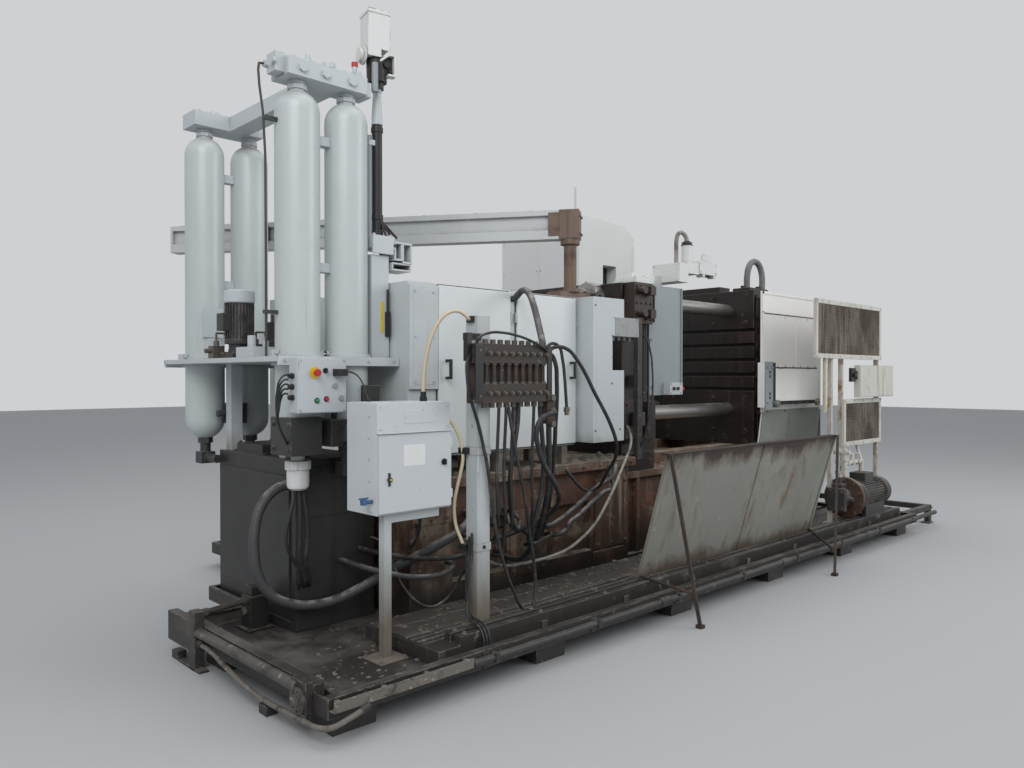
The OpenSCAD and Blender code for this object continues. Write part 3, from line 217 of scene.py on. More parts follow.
DUST = (0.42, 0.39, 0.35)
rubber_black = finish("rubber_black", (0.022, 0.022, 0.023), 0.55, [
    (patches, (9, 0.45, 0.2), (0.1, 0.095, 0.09), 0.75),
    (dust, (9, 0.5), (0.24, 0.22, 0.2), 0.9)], grain=(260, 0.25))
rubber_grey = finish("rubber_grey", (0.058, 0.058, 0.061), 0.55, [
    (patches, (7, 0.5, 0.2), (0.045, 0.042, 0.04), 0.6), (dust, (9, 0.6), DUST, 0.9)], grain=(260, 0.25))
rubber_pale = finish("rubber_pale", (0.33, 0.31, 0.28), 0.6, [
    (patches, (11, 0.6, 0.2), (0.13, 0.11, 0.095), 0.7)], grain=(260, 0.25))
plastic_cream = finish("plastic_cream", (0.66, 0.56, 0.4), 0.45, [
    (patches, (10, 0.35, 0.2), (0.4, 0.32, 0.22), 0.6)], grain=(200, 0.1))


def tube(name, route, width, material, roundness, steps):
    """A smooth round curve through the route's points, closed at its ends."""
    line = bpy.data.curves.new(name, "CURVE")
    line.dimensions = "3D"
    line.bevel_depth = width / 2
    line.bevel_resolution = roundness
    line.resolution_u = steps
    line.use_fill_caps = True
    run = line.splines.new("BEZIER")
    run.bezier_points.add(len(route) - 1)
    for point, place in zip(run.bezier_points, route):
        point.co = place
        point.handle_left_type = "AUTO"
        point.handle_right_type = "AUTO"
    line.materials.append(material)
    made = bpy.data.objects.new(name, line)
    scene.collection.objects.link(made)
    return made


def hose(name, route, width, material=rubber_black, node=None, body="frame"):
    """A free hose: one smooth curve through its route's points."""
    made = tube(name, route, width, material, 4, 6)
    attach(made, body)
    if node:
        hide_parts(node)


hose("suction_hose_skin", [
    (-3.4, -0.5, 1.0), (-3.44, -0.5, 1.0), (-3.52, -0.505, 0.97), (-3.595, -0.515, 0.895),
    (-3.64, -0.53, 0.785), (-3.655, -0.545, 0.65), (-3.64, -0.56, 0.51), (-3.575, -0.58, 0.39),
    (-3.455, -0.6, 0.315), (-3.3, -0.625, 0.285), (-3.15, -0.65, 0.3), (-3.01, -0.7, 0.36),
    (-2.89, -0.78, 0.44), (-2.78, -0.88, 0.52), (-2.65, -0.95, 0.59), (-2.51, -0.975, 0.65),
    (-2.38, -0.95, 0.7), (-2.31, -0.89, 0.735), (-2.29, -0.85, 0.74), (-2.29, -0.82, 0.74)],
    0.06, rubber_grey, node="suction_hose")
hose("feed_hose_skin", [
    (-1.925, -0.89, 2.19), (-1.925, -0.912, 2.19), (-1.927, -0.945, 2.208), (-1.94, -1.0, 2.235),
    (-1.97, -1.07, 2.23), (-2.01, -1.15, 2.19), (-2.06, -1.23, 2.12), (-2.11, -1.31, 2.03),
    (-2.16, -1.385, 1.94), (-2.195, -1.435, 1.885), (-2.21, -1.455, 1.86), (-2.21, -1.455, 1.84)],
    0.044, rubber_grey, node="feed_hose")
hose("drop_hose_left_skin", [
    (-2.42, -1.455, 1.5), (-2.42, -1.455, 1.43), (-2.43, -1.455, 1.34), (-2.445, -1.45, 1.25),
    (-2.46, -1.445, 1.16), (-2.47, -1.44, 1.07), (-2.465, -1.43, 0.98), (-2.445, -1.415, 0.89),
    (-2.41, -1.39, 0.81), (-2.36, -1.35, 0.745), (-2.29, -1.3, 0.7), (-2.21, -1.24, 0.68),
    (-2.13, -1.17, 0.68), (-2.05, -1.09, 0.69), (-1.985, -1.0, 0.705), (-1.95, -0.92, 0.715),
    (-1.94, -0.86, 0.72), (-1.94, -0.82, 0.72)], 0.03, node="drop_hose_left")
hose("drop_hose_right_skin", [
    (-2.23, -1.455, 1.5), (-2.23, -1.455, 1.43), (-2.222, -1.458, 1.34), (-2.212, -1.46, 1.24),
    (-2.202, -1.458, 1.14), (-2.2, -1.45, 1.04), (-2.205, -1.44, 0.94), (-2.218, -1.425, 0.84),
    (-2.226, -1.4, 0.755), (-2.21, -1.365, 0.685), (-2.17, -1.32, 0.625), (-2.11, -1.26, 0.585),
    (-2.04, -1.19, 0.565), (-1.965, -1.11, 0.56), (-1.9, -1.02, 0.57), (-1.862, -0.93, 0.582),
    (-1.85, -0.865, 0.59), (-1.85, -0.82, 0.59)], 0.03, node="drop_hose_right")
hose("cream_hose_skin", [
    (-2.718, -1.372, 1.985), (-2.735, -1.372, 1.985), (-2.765, -1.368, 2.008), (-2.81, -1.355, 2.028),
    (-2.862, -1.332, 2.015), (-2.905, -1.305, 1.965), (-2.935, -1.28, 1.89), (-2.95, -1.26, 1.81),
    (-2.957, -1.245, 1.73), (-2.96, -1.235, 1.65), (-2.96, -1.23, 1.58), (-2.96, -1.23, 1.511)],
    0.022, plastic_cream, node="cream_hose")
hose("hose_long_loop", [
    (-2.8, -1.46, 1.79), (-2.83, -1.465, 1.74), (-2.835, -1.47, 1.65), (-2.81, -1.465, 1.54),
    (-2.775, -1.455, 1.47), (-2.73, -1.44, 1.39), (-2.69, -1.44, 1.26), (-2.65, -1.44, 1.11),
    (-2.625, -1.44, 0.96), (-2.6, -1.44, 0.81), (-2.57, -1.44, 0.68), (-2.53, -1.44, 0.56),
    (-2.49, -1.44, 0.46), (-2.44, -1.44, 0.36), (-2.39, -1.44, 0.27), (-2.32, -1.43, 0.22),
    (-2.25, -1.41, 0.23), (-2.205, -1.39, 0.31), (-2.2, -1.38, 0.43), (-2.23, -1.39, 0.55),
    (-2.29, -1.42, 0.7), (-2.36, -1.47, 0.84), (-2.42, -1.5, 0.98), (-2.47, -1.51, 1.12),
    (-2.5, -1.5, 1.28), (-2.51, -1.48, 1.4), (-2.51, -1.46, 1.497)], 0.02)
hose("hose_over_manifold", [
    (-2.76, -1.465, 1.84), (-2.755, -1.475, 1.87), (-2.7, -1.5, 1.9), (-2.6, -1.515, 1.905),
    (-2.48, -1.52, 1.89), (-2.36, -1.52, 1.86), (-2.26, -1.515, 1.825), (-2.195, -1.5, 1.79)],
    0.016)
hose("hose_side_arc", [
    (-2.185, -1.47, 1.8), (-2.14, -1.5, 1.835), (-2.07, -1.54, 1.82), (-2.0, -1.56, 1.75),
    (-1.93, -1.57, 1.66), (-1.85, -1.57, 1.55), (-1.76, -1.57, 1.44), (-1.67, -1.56, 1.33),
    (-1.58, -1.53, 1.22), (-1.48, -1.45, 1.12), (-1.37, -1.33, 1.04), (-1.27, -1.2, 0.96),
    (-1.2, -1.1, 0.88), (-1.18, -1.03, 0.82), (-1.22, -0.98, 0.8), (-1.29, -0.95, 0.84),
    (-1.35, -0.93, 0.91), (-1.39, -0.905, 0.965)], 0.024)
hose("hose_bundle_thick", [
    (-2.165, -1.467, 1.365), (-2.165, -1.467, 1.3), (-2.16, -1.465, 1.2), (-2.15, -1.455, 1.08),
    (-2.13, -1.43, 0.96), (-2.1, -1.38, 0.85), (-2.06, -1.31, 0.74), (-2.01, -1.22, 0.62),
    (-1.98, -1.13, 0.51), (-1.965, -1.04, 0.43), (-1.965, -0.95, 0.4), (-1.965, -0.86, 0.41),
    (-1.965, -0.765, 0.43)], 0.036)
hose("hose_bundle_outer", [
    (-2.185, -1.45, 1.77), (-2.14, -1.455, 1.79), (-2.1, -1.46, 1.74), (-2.085, -1.46, 1.62),
    (-2.08, -1.455, 1.48), (-2.075, -1.44, 1.34), (-2.06, -1.42, 1.22), (-2.03, -1.38, 1.11),
    (-1.98, -1.32, 1.0), (-1.92, -1.25, 0.89), (-1.85, -1.17, 0.78), (-1.79, -1.09, 0.67),
    (-1.75, -1.0, 0.56), (-1.74, -0.93, 0.5), (-1.74, -0.86, 0.46), (-1.74, -0.82, 0.45)],
    0.028)
hose("hose_elbow_low", [
    (-2.165, -1.492, 1.43), (-2.175, -1.53, 1.43), (-2.22, -1.55, 1.43), (-2.28, -1.555, 1.42),
    (-2.335, -1.55, 1.38), (-2.355, -1.545, 1.31), (-2.33, -1.54, 1.22), (-2.28, -1.535, 1.12),
    (-2.2, -1.525, 1.03), (-2.11, -1.49, 0.95), (-2.03, -1.43, 0.87), (-1.99, -1.35, 0.79),
    (-2.0, -1.26, 0.73), (-2.06, -1.16, 0.66), (-2.15, -1.08, 0.61), (-2.26, -1.03, 0.57),
    (-2.4, -1.03, 0.54), (-2.55, -1.03, 0.52), (-2.7, -1.0, 0.53), (-2.82, -0.92, 0.54),
    (-2.9, -0.8, 0.55), (-2.94, -0.68, 0.56), (-2.95, -0.56, 0.56)], 0.032)
hose("hose_bed_low", [
    (-2.45, -0.82, 0.44), (-2.46, -0.88, 0.44), (-2.52, -0.96, 0.44), (-2.62, -1.01, 0.43),
    (-2.74, -1.02, 0.43), (-2.86, -0.99, 0.44), (-2.95, -0.93, 0.46), (-3.02, -0.84, 0.48),
    (-3.07, -0.74, 0.5), (-3.09, -0.64, 0.51), (-3.09, -0.56, 0.51)], 0.034, rubber_grey)
hose("hose_thin_loop", [
    (-2.87, -0.56, 0.62), (-2.87, -0.62, 0.62), (-2.9, -0.75, 0.6), (-2.93, -0.9, 0.5),
    (-2.92, -1.0, 0.38), (-2.87, -1.07, 0.3), (-2.8, -1.1, 0.27), (-2.73, -1.12, 0.29),
    (-2.68, -1.16, 0.36), (-2.66, -1.21, 0.45), (-2.66, -1.27, 0.52), (-2.665, -1.31, 0.55)],
    0.016)
hose("hose_pale_sweep", [
    (-0.47, -0.755, 1.24), (-0.5, -0.8, 1.22), (-0.56, -0.87, 1.16), (-0.65, -0.93, 1.09),
    (-0.76, -0.98, 1.02), (-0.87, -1.02, 0.94), (-1.02, -1.07, 0.82), (-1.17, -1.1, 0.69),
    (-1.31, -1.12, 0.58), (-1.45, -1.12, 0.5), (-1.59, -1.11, 0.44), (-1.72, -1.09, 0.41),
    (-1.83, -1.05, 0.39), (-1.92, -0.99, 0.37), (-2.02, -0.92, 0.36), (-2.06, -0.85, 0.37),
    (-2.07, -0.765, 0.39)], 0.022, rubber_pale)
for number, lower in enumerate((0, 0.065)):
    hose("hose_bed_pair_%d" % (number + 1), [
        (-0.8 - lower, -0.905, 0.95), (-0.85 - lower, -0.94, 0.92 - lower / 2),
        (-0.93, -0.965 - lower / 3, 0.87 - lower), (-1.05, -0.975 - lower / 3, 0.84 - lower),
        (-1.17, -0.985 - lower / 3, 0.8 - lower), (-1.28, -1.0 - lower / 3, 0.755 - lower),
        (-1.39, -1.01 - lower / 3, 0.705 - lower), (-1.49, -1.01 - lower / 3, 0.66 - lower),
        (-1.57 + lower, -1.0 - lower / 3, 0.62 - lower), (-1.63 + lower, -0.97 - lower / 3, 0.59 - lower),
        (-1.65 + lower, -0.91, 0.58 - lower), (-1.65 + lower, -0.86, 0.58 - lower),
        (-1.65 + lower, -0.822, 0.58 - lower)], 0.036, rubber_grey)
hose("cable_platen_side", [
    (-0.4, -0.755, 2.05), (-0.395, -0.8, 2.04), (-0.385, -0.88, 1.98), (-0.38, -0.93, 1.86),
    (-0.38, -0.95, 1.7), (-0.39, -0.96, 1.55), (-0.41, -0.96, 1.4), (-0.435, -0.95, 1.28),
    (-0.46, -0.93, 1.16), (-0.48, -0.89, 1.06), (-0.49, -0.83, 1.0), (-0.49, -0.755, 0.98)],
    0.015)
hose("cream_hose_low", [
    (-2.857, -1.3, 1.4), (-2.83, -1.305, 1.395), (-2.79, -1.32, 1.34), (-2.76, -1.33, 1.26),
    (-2.748, -1.33, 1.18), (-2.75, -1.315, 1.1), (-2.765, -1.3, 1.01), (-2.778, -1.29, 0.92),
    (-2.778, -1.29, 0.84), (-2.768, -1.295, 0.77), (-2.75, -1.31, 0.71), (-2.738, -1.33, 0.655)],
    0.02, plastic_cream)
for number in range(3):
    side = number * 0.022
    hose("cable_post_%d" % (number + 1), [
        (-2.732, -1.345 - side, 0.7 + side), (-2.738, -1.35 - side, 0.6),
        (-2.745 - side / 3, -1.355 - side, 0.5), (-2.75 - side / 2, -1.36 - side, 0.4),
        (-2.755 - side, -1.38 - side, 0.31),
        (-2.77 - side, -1.44 - side / 2, 0.275), (-2.79 - side, -1.52, 0.275),
        (-2.8 - side, -1.585, 0.262), (-2.805 - side, -1.622, 0.215), (-2.81 - side, -1.63, 0.15)],
        0.013)
for number, (x, reach) in enumerate(((-3.47, 0.05), (-3.43, 0.0), (-3.4, -0.02))):
    hose("hose_filter_%d" % (number + 1), [
        (x, -0.655, 0.99), (x, -0.66, 0.94), (x - reach / 2, -0.668, 0.86), (x - reach, -0.67, 0.76),
        (x - reach * 0.8, -0.665, 0.66), (x + 0.02, -0.65, 0.56), (x + 0.05, -0.625, 0.48),
        (x + 0.075, -0.59, 0.42), (x + 0.085, -0.562, 0.39)], 0.021)
for number in range(5):
    drop = number * 0.026
    hose("cable_panel_%d" % (number + 1), [
        (-3.602, -0.85, 1.66 - drop), (-3.622, -0.85 + drop / 9, 1.66 - drop),
        (-3.652 + drop / 5, -0.85 + drop / 4, 1.635 - drop),
        (-3.665 + drop / 4, -0.84 + drop / 4, 1.57 - drop),
        (-3.665 + drop / 4, -0.83 + drop / 4, 1.49 - drop / 2),
        (-3.65 + drop / 4, -0.815 + drop / 4, 1.41 - drop / 3),
        (-3.61 + drop / 3, -0.795 + drop / 4, 1.33 - drop / 3),
        (-3.56 + drop / 4, -0.765 + drop / 4, 1.275 - drop / 4),
        (-3.5 + drop / 5, -0.725 + drop / 5, 1.25)], 0.011)
hose("cable_panel_box", [
    (-3.285, -0.925, 1.675), (-3.25, -0.928, 1.677), (-3.215, -0.945, 1.655), (-3.2, -0.975, 1.61),
    (-3.205, -1.01, 1.565), (-3.22, -1.05, 1.535), (-3.235, -1.09, 1.514)], 0.009)
hose("hose_box_rear", [
    (-2.9, -1.12, 0.909), (-2.9, -1.12, 0.85), (-2.89, -1.1, 0.76), (-2.875, -1.05, 0.68),
    (-2.86, -0.98, 0.62), (-2.83, -0.93, 0.62), (-2.77, -0.9, 0.66), (-2.72, -0.86, 0.7),
    (-2.7, -0.822, 0.72)], 0.02)
hose("spray_hose_arch", [
    (0.45, -0.725, 2.84), (0.45, -0.725, 2.885), (0.44, -0.72, 2.925), (0.412, -0.712, 2.952),
    (0.375, -0.706, 2.957), (0.34, -0.702, 2.935), (0.322, -0.7, 2.88), (0.32, -0.7, 2.8),
    (0.32, -0.7, 2.72), (0.32, -0.7, 2.66)], 0.038, rubber_pale)
for number, (x, low, end_x, end_y, end_z) in enumerate((
        (-2.581, 0.62, -2.34, -0.765, 0.6), (-2.523, 0.5, -2.2, -0.765, 0.44),
        (-2.465, 0.74, -2.02, -0.765, 0.62), (-2.289, 0.56, -1.6, -0.822, 0.52))):
    hose("hose_drop_%d" % (number + 1), [
        (x, -1.46, 1.488), (x - 0.004, -1.46, 1.4), (x - 0.016, -1.462, 1.22), (x - 0.018, -1.46, 1.02),
        (x + 0.01, -1.44, 0.86), (x + 0.06, -1.38, 0.74), (x + 0.13, -1.28, low + 0.04),
        ((x + end_x) / 2 + 0.1, -1.14, low), (end_x - 0.03, -0.98, (low + end_z) / 2), (end_x, -0.88, end_z),
        (end_x, end_y, end_z)], 0.02)
form = bmesh.new()
for z, width in ((1.445, 0.04), (1.425, 0.03)):
    bmesh.ops.create_cone(form, cap_ends=True, segments=6, radius1=width / 2, radius2=width / 2, depth=0.03,
                          matrix=Matrix.Translation((-2.052, -1.515, z)))
mesh = bpy.data.meshes.new("hose_nut")
form.to_mesh(mesh)
form.free()
mesh.materials.append(finish("nut_steel", (0.2, 0.18, 0.15), 0.4, metal=0.6))
nut = bpy.data.objects.new("hose_nut", mesh)
scene.collection.objects.link(nut)
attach(nut, "frame")
hose("hose_short_free", [
    (-2.19, -1.465, 1.83), (-2.155, -1.488, 1.857), (-2.12, -1.508, 1.84), (-2.095, -1.518, 1.76),
    (-2.078, -1.52, 1.65), (-2.064, -1.518, 1.54), (-2.052, -1.515, 1.44)], 0.02)
loop_grey = finish("loop_grey", (0.17, 0.17, 0.172), 0.55, [
    (patches, (9, 0.4, 0.15), (0.085, 0.08, 0.075), 0.6)])
hose("platen_hose_loop", [
    (1.73, -0.6, 2.53), (1.73, -0.6, 2.59), (1.722, -0.605, 2.67), (1.735, -0.612, 2.76),
    (1.775, -0.62, 2.825), (1.84, -0.63, 2.845), (1.9, -0.64, 2.815), (1.935, -0.648, 2.745),
    (1.942, -0.655, 2.66), (1.938, -0.655, 2.59), (1.938, -0.655, 2.53)], 0.062, loop_grey,
    body="moving_platen")

# Drip tray with its rims and floor pads: welded plate, black with old oil, worn pale along its
# edges and crusted with beige release agent. A pipe clipped to the near rim follows it along.
IRON_PALE = (0.27, 0.25, 0.225)
old_base = finish("old_base", (0.033, 0.03, 0.028), 0.5, [
    (patches, (2.6, 0.42, 0.12), (0.082, 0.07, 0.06), 0.75),
    (dust, (2.2, 0.55), (0.125, 0.114, 0.102), 0.8), (patches, (7, 0.24, 0.08), (0.21, 0.19, 0.165), 0.9),
    (patches, (30, 0.26, 0.12), (0.135, 0.122, 0.105), 0.9),
    (edges, (0.006, 0.62), IRON_PALE, 0.5)], grain=(60, 0.6))


def node_form(node):
    """A CAD node's own mesh, with the flat faces of each side joined."""
    form = bmesh.new()
    form.from_mesh(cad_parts[node].data)
    bmesh.ops.remove_doubles(form, verts=form.verts, dist=0.0002)
    bmesh.ops.dissolve_limit(form, angle_limit=math.radians(1), verts=form.verts, edges=form.edges)
    return form


def block(form, x0, x1, y0, y1, z0, z1):
    made = bmesh.ops.create_cube(form, size=1)["verts"]
    bmesh.ops.scale(form, vec=(x1 - x0, y1 - y0, z1 - z0), verts=made)
    bmesh.ops.translate(form, vec=((x0 + x1) / 2, (y0 + y1) / 2, (z0 + z1) / 2), verts=made)
    return made


def blocks(form, *boxes):
    """Blocks, each given by x0, x1, y0, y1, z0 and z1."""
    for box in boxes:
        block(form, *box)


def made_of(*boxes):
    """A new form of such blocks."""
    form = bmesh.new()
    blocks(form, *boxes)
    return form


def rod(form, a, b, width, sides=24, width_b=None):
    """A round bar or cone from a to b."""
    a, b = Vector(a), Vector(b)
    place = Matrix.Translation((a + b) / 2) @ (b - a).to_track_quat("Z", "Y").to_matrix().to_4x4()
    bmesh.ops.create_cone(form, cap_ends=True, segments=sides, radius1=width / 2,
                          radius2=(width if width_b is None else width_b) / 2,
                          depth=(b - a).length, matrix=place)


def rod_x(form, x0, x1, y, z, *shape):
    """A round bar along X. Its width, sides and other width come last, as for rod."""
    rod(form, (x0, y, z), (x1, y, z), *shape)


def rod_y(form, x, y0, y1, z, *shape):
    """The same along Y."""
    rod(form, (x, y0, z), (x, y1, z), *shape)


def rod_z(form, x, y, z0, z1, *shape):
    """The same along Z."""
    rod(form, (x, y, z0), (x, y, z1), *shape)


def soften(form, width=0.002, steps=2, angle=35):
    """Rounds the edges that turn by more than the angle."""
    sharp = [e for e in form.edges if len(e.link_faces) == 2 and e.calc_face_angle(0) > math.radians(angle)]
    bmesh.ops.bevel(form, geom=sharp, offset=width, offset_type="OFFSET", segments=steps, profile=0.5,
                    affect="EDGES", clamp_overlap=True, material=-1)
    return form


def piece(name, form, material, node=None, body="frame"):
    """One finished piece of the visual model."""
    bmesh.ops.recalc_face_normals(form, faces=form.faces)
    mesh = bpy.data.meshes.new(name)
    form.to_mesh(mesh)
    form.free()
    mesh.materials.append(material)
    mesh.shade_smooth()
    mesh.set_sharp_from_angle(angle=math.radians(32))
    made = bpy.data.objects.new(name, mesh)
    scene.collection.objects.link(made)
    made.modifiers.new("normals", "WEIGHTED_NORMAL").keep_sharp = True
    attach(made, body)
    if node:
        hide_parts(node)


def dress(name, node, width, material, steps=2):
    """A piece that is a CAD node's own mesh with rounded edges."""
    piece(name, soften(node_form(node), width, steps), material, node)


def along(a, b, count):
    """Evenly spaced places from a to b."""
    return [a + (b - a) * k / (count - 1) for k in range(count)]


dress("tray", "base_tray", 0.003, old_base)
form = bmesh.new()
for x in along(-2.95, 3.18, 8):
    block(form, x - 0.02, x + 0.02, -1.758, -1.749, 0.112, 0.196)
for x in along(-2.7, 3.18, 7):
    block(form, x - 0.02, x + 0.02, 1.972, 1.979, 0.122, 0.196)
for x0, x1, y0, y1 in (
        (-3.895, 3.195, -1.752, -1.7), (3.15, 3.195, -1.7, 1.985), (-2.797, 3.15, 1.955, 1.988),
        (-3.448, -3.425, -0.06, 0.548), (-3.425, -2.797, 0.52, 0.548), (-2.797, -2.765, 0.52, 1.955),
        (-3.84, -3.425, -0.09, -0.062)):
    block(form, x0, x1, y0, y1, 0.199, 0.206)
for x in along(-2.9, 3, 8):
    block(form, x - 0.015, x + 0.015, -1.797, -1.745, 0.136, 0.188)
piece("tray_stiffeners", soften(form), old_base)
worn_iron = finish("worn_iron", (0.155, 0.14, 0.122), 0.6, [
    (patches, (9, 0.5, 0.1), (0.055, 0.046, 0.039), 0.7),
    (patches, (26, 0.34, 0.08), (0.36, 0.33, 0.28), 0.8)], grain=(60, 0.6))
form = made_of((-3.895, -3.07, -1.797, -1.751, 0.15, 0.157), (-3.895, -3.07, -1.797, -1.79, 0.15, 0.204))
for x in along(-3.86, -3.1, 4):
    block(form, x - 0.012, x + 0.012, -1.7965, -1.751, 0.156, 0.196)
piece("tray_gutter", soften(form), worn_iron)
form = bmesh.new()
for x in along(-3.06, 3.5, 5)[1:-1]:
    rod_x(form, x, x + 0.1, -1.7705, 0.162, 0.056)
piece("rim_pipe_sleeves", soften(form), old_base)


def lumps(form, x0, x1, y0, y1, z, height, seed, cell=0.03, cover=0.35, spread_by=1):
    """A crust of dried residue: a low uneven skin that fades into the face under it."""
    source = random.Random(seed)
    nx, ny = max(3, int((x1 - x0) / cell)), max(3, int((y1 - y0) / cell))
    hills = [(source.uniform(x0, x1), source.uniform(y0, y1), source.uniform(0.04, 0.14) * spread_by,
              source.uniform(0.3, 1)) for _ in range(int((x1 - x0) * (y1 - y0) * 60 / spread_by ** 2) + 5)]
    grid = []
    for i in range(nx + 1):
        row = []
        for j in range(ny + 1):
            x, y = x0 + (x1 - x0) * i / nx, y0 + (y1 - y0) * j / ny
            rise = max([h * max(0, 1 - ((x - a) ** 2 + (y - b) ** 2) / r ** 2) for a, b, r, h in hills])
            rise = max(0, rise - cover) * source.uniform(0.7, 1.3)
            rim = min(1, 6 * min(i / nx, 1 - i / nx, 0.5), 6 * min(j / ny, 1 - j / ny, 0.5))
            row.append(form.verts.new((x, y, z - 0.006 + (0.006 + height) * rise * rim)))
        grid.append(row)
    for i in range(nx):
        for j in range(ny):
            form.faces.new((grid[i][j], grid[i + 1][j], grid[i + 1][j + 1], grid[i][j + 1]))


residue = finish("residue", (0.175, 0.155, 0.125), 0.92, [
    (patches, (9, 0.5, 0.2), (0.085, 0.07, 0.056), 0.9),
    (patches, (22, 0.32, 0.15), (0.34, 0.31, 0.265), 0.95)], grain=(70, 0.9), vary=0.3)
form = bmesh.new()
lumps(form, -3.6, -2.95, -1.6, -0.8, 0.122, 0.014, 3, cell=0.012, cover=0.42, spread_by=0.28)
lumps(form, -3.74, -3.5, -1.7, -1, 0.122, 0.012, 4, cell=0.012, cover=0.42, spread_by=0.28)
lumps(form, -3.2, -2.6, -1.74, -1.61, 0.122, 0.012, 5, cell=0.012, cover=0.4, spread_by=0.28)
piece("tray_residue", form, residue)

# Drain pipe from the leg of the rack, low along the injection end and round the tray's near corner to
# the gutter: thin steel pipe, worn pale, with a sleeve at each end.
drain = tube("drain_pipe", [
    (-3.932, -0.44, 0.155), (-3.938, -0.6, 0.15), (-3.943, -0.85, 0.11), (-3.943, -1.1, 0.072),
    (-3.943, -1.3, 0.068), (-3.943, -1.45, 0.074), (-3.943, -1.62, 0.08), (-3.938, -1.735, 0.086),
    (-3.905, -1.785, 0.092), (-3.84, -1.8, 0.11), (-3.725, -1.805, 0.142)], 0.027, worn_iron, 5, 12)
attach(drain, "frame")
form = bmesh.new()
rod(form, (-3.929, -0.44, 0.155), (-3.934, -0.49, 0.154), 0.04)
rod(form, (-3.76, -1.803, 0.132), (-3.715, -1.805, 0.145), 0.036)
piece("drain_pipe_joints", soften(form), old_base)

# Open frame of square tube past the tray's clamp end: welded, black with oil like the tray, with
# bolted plates under its two legs.
NEAR, FAR = (0, -1, 0), (0, 1, 0)
LEFT, RIGHT = (-1, 0, 0), (1, 0, 0)
UP = (0, 0, 1)


def bolt(form, at, axis, size):
    """A washer and a hexagon head, standing out of the face along axis."""
    at, axis = Vector(at), Vector(axis)
    rod(form, at - axis * 0.002, at + axis * size * 0.12, size * 1.5, 16)
    rod(form, at, at + axis * size * 0.6, size, 6, size * 0.96)


def bolts(form, xs, ys, zs, axis, size):
    """Bolts wherever the places along X, Y and Z cross. A single place is given as a number."""
    xs, ys, zs = [[v] if isinstance(v, (int, float)) else v for v in (xs, ys, zs)]
    for x in xs:
        for y in ys:
            for z in zs:
                bolt(form, (x, y, z), axis, size)


def side_bolts(form, xs, out, zs, size):
    """Bolts on both sides of the machine, their heads out off its middle plane."""
    for side in (-1, 1):
        bolts(form, xs, side * out, zs, (0, side, 0), size)


form = soften(node_form("end_frame"), 0.004)
side_bolts(form, (3.25, 3.93), 1.655, 0.175, 0.02)
bolts(form, (3.855, 3.945), (-1.65, 1.65), 0.011, UP, 0.016)
piece("end_frame_tubes", form, old_base, node="end_frame")

# Roller across the injection end, between a square leg on the floor and a bolted hub at the tray's
# near corner: greasy iron. A feed pipe runs from the leg to a dark valve that stands in the tray,
# and small pads stand on the floor under the roller.
black_iron = finish("black_iron", (0.018, 0.017, 0.016), 0.5, [
    (dust, (8, 0.6), (0.12, 0.105, 0.09), 0.9),
    (edges, (0.004, 0.6), (0.12, 0.1, 0.09), 0.6)], grain=(80, 0.4))
roller_iron = finish("roller_iron", (0.078, 0.07, 0.062), 0.45, [
    (patches, (6, 0.5, 0.15), (0.03, 0.027, 0.024), 0.5),
    (patches, (20, 0.3, 0.08), (0.33, 0.3, 0.255), 0.9)], grain=(60, 0.6))
form = made_of((-3.9595, -3.9005, -0.44, -0.36, 0, 0.33), (-3.9595, -3.9005, -0.361, -0.06, 0.1, 0.27),
               (-3.9595, -3.9005, -0.5, -0.2, 0, 0.015), (-3.938, -3.9005, -1.62, -1.48, 0.1, 0.25),
               (-3.957, -3.9, -0.19, -0.11, 0, 0.05), (-3.957, -3.9, -1.28, -1.2, 0, 0.05),
               (-3.82, -3.765, -1.66, -0.1, 0.124, 0.188))
soften(form, 0.004)
bolts(form, -3.7925, (-1.6, -1, -0.4), 0.1878, UP, 0.022)
piece("rack", form, old_base, node="end_rack")
form = bmesh.new()
rod_y(form, -3.931, -1.54, -0.439, 0.214, 0.055, 32)
for y in (-1.47, -1.02, -0.47):
    rod_y(form, -3.931, y - 0.02, y + 0.02, 0.214, 0.0575, 32)
rod_x(form, -3.952, -3.93, -1.56, 0.159, 0.125, 40)
rod_x(form, -3.956, -3.93, -1.56, 0.159, 0.048)
for k in range(8):
    turn = math.tau * k / 8
    rod_x(form, -3.958, -3.95, -1.56 + 0.045 * math.cos(turn), 0.159 + 0.045 * math.sin(turn), 0.017, 6)
rod(form, (-3.925, -0.4, 0.305), (-3.57, -0.31, 0.305), 0.036, 20)
rod(form, (-3.905, -0.395, 0.305), (-3.86, -0.384, 0.305), 0.052, 6)
rod(form, (-3.62, -0.322, 0.305), (-3.575, -0.311, 0.305), 0.052, 6)
piece("rack_roller", soften(form), roller_iron)
form = made_of((-3.585, -3.465, -0.35, -0.23, 0.124, 0.325), (-3.565, -3.485, -0.33, -0.25, 0.325, 0.38),
               (-3.61, -3.44, -0.375, -0.205, 0.122, 0.136))
soften(form, 0.005)
bolts(form, (-3.595, -3.455), (-0.36, -0.22), 0.1358, UP, 0.014)
rod_y(form, -3.525, -0.25, -0.19, 0.36, 0.03, 16)
piece("tray_valve", form, black_iron)
form = bmesh.new()
rod_x(form, -3.585, -3.602, -0.29, 0.235, 0.05, 28)
piece("tray_valve_button", soften(form, 0.003), worn_iron)

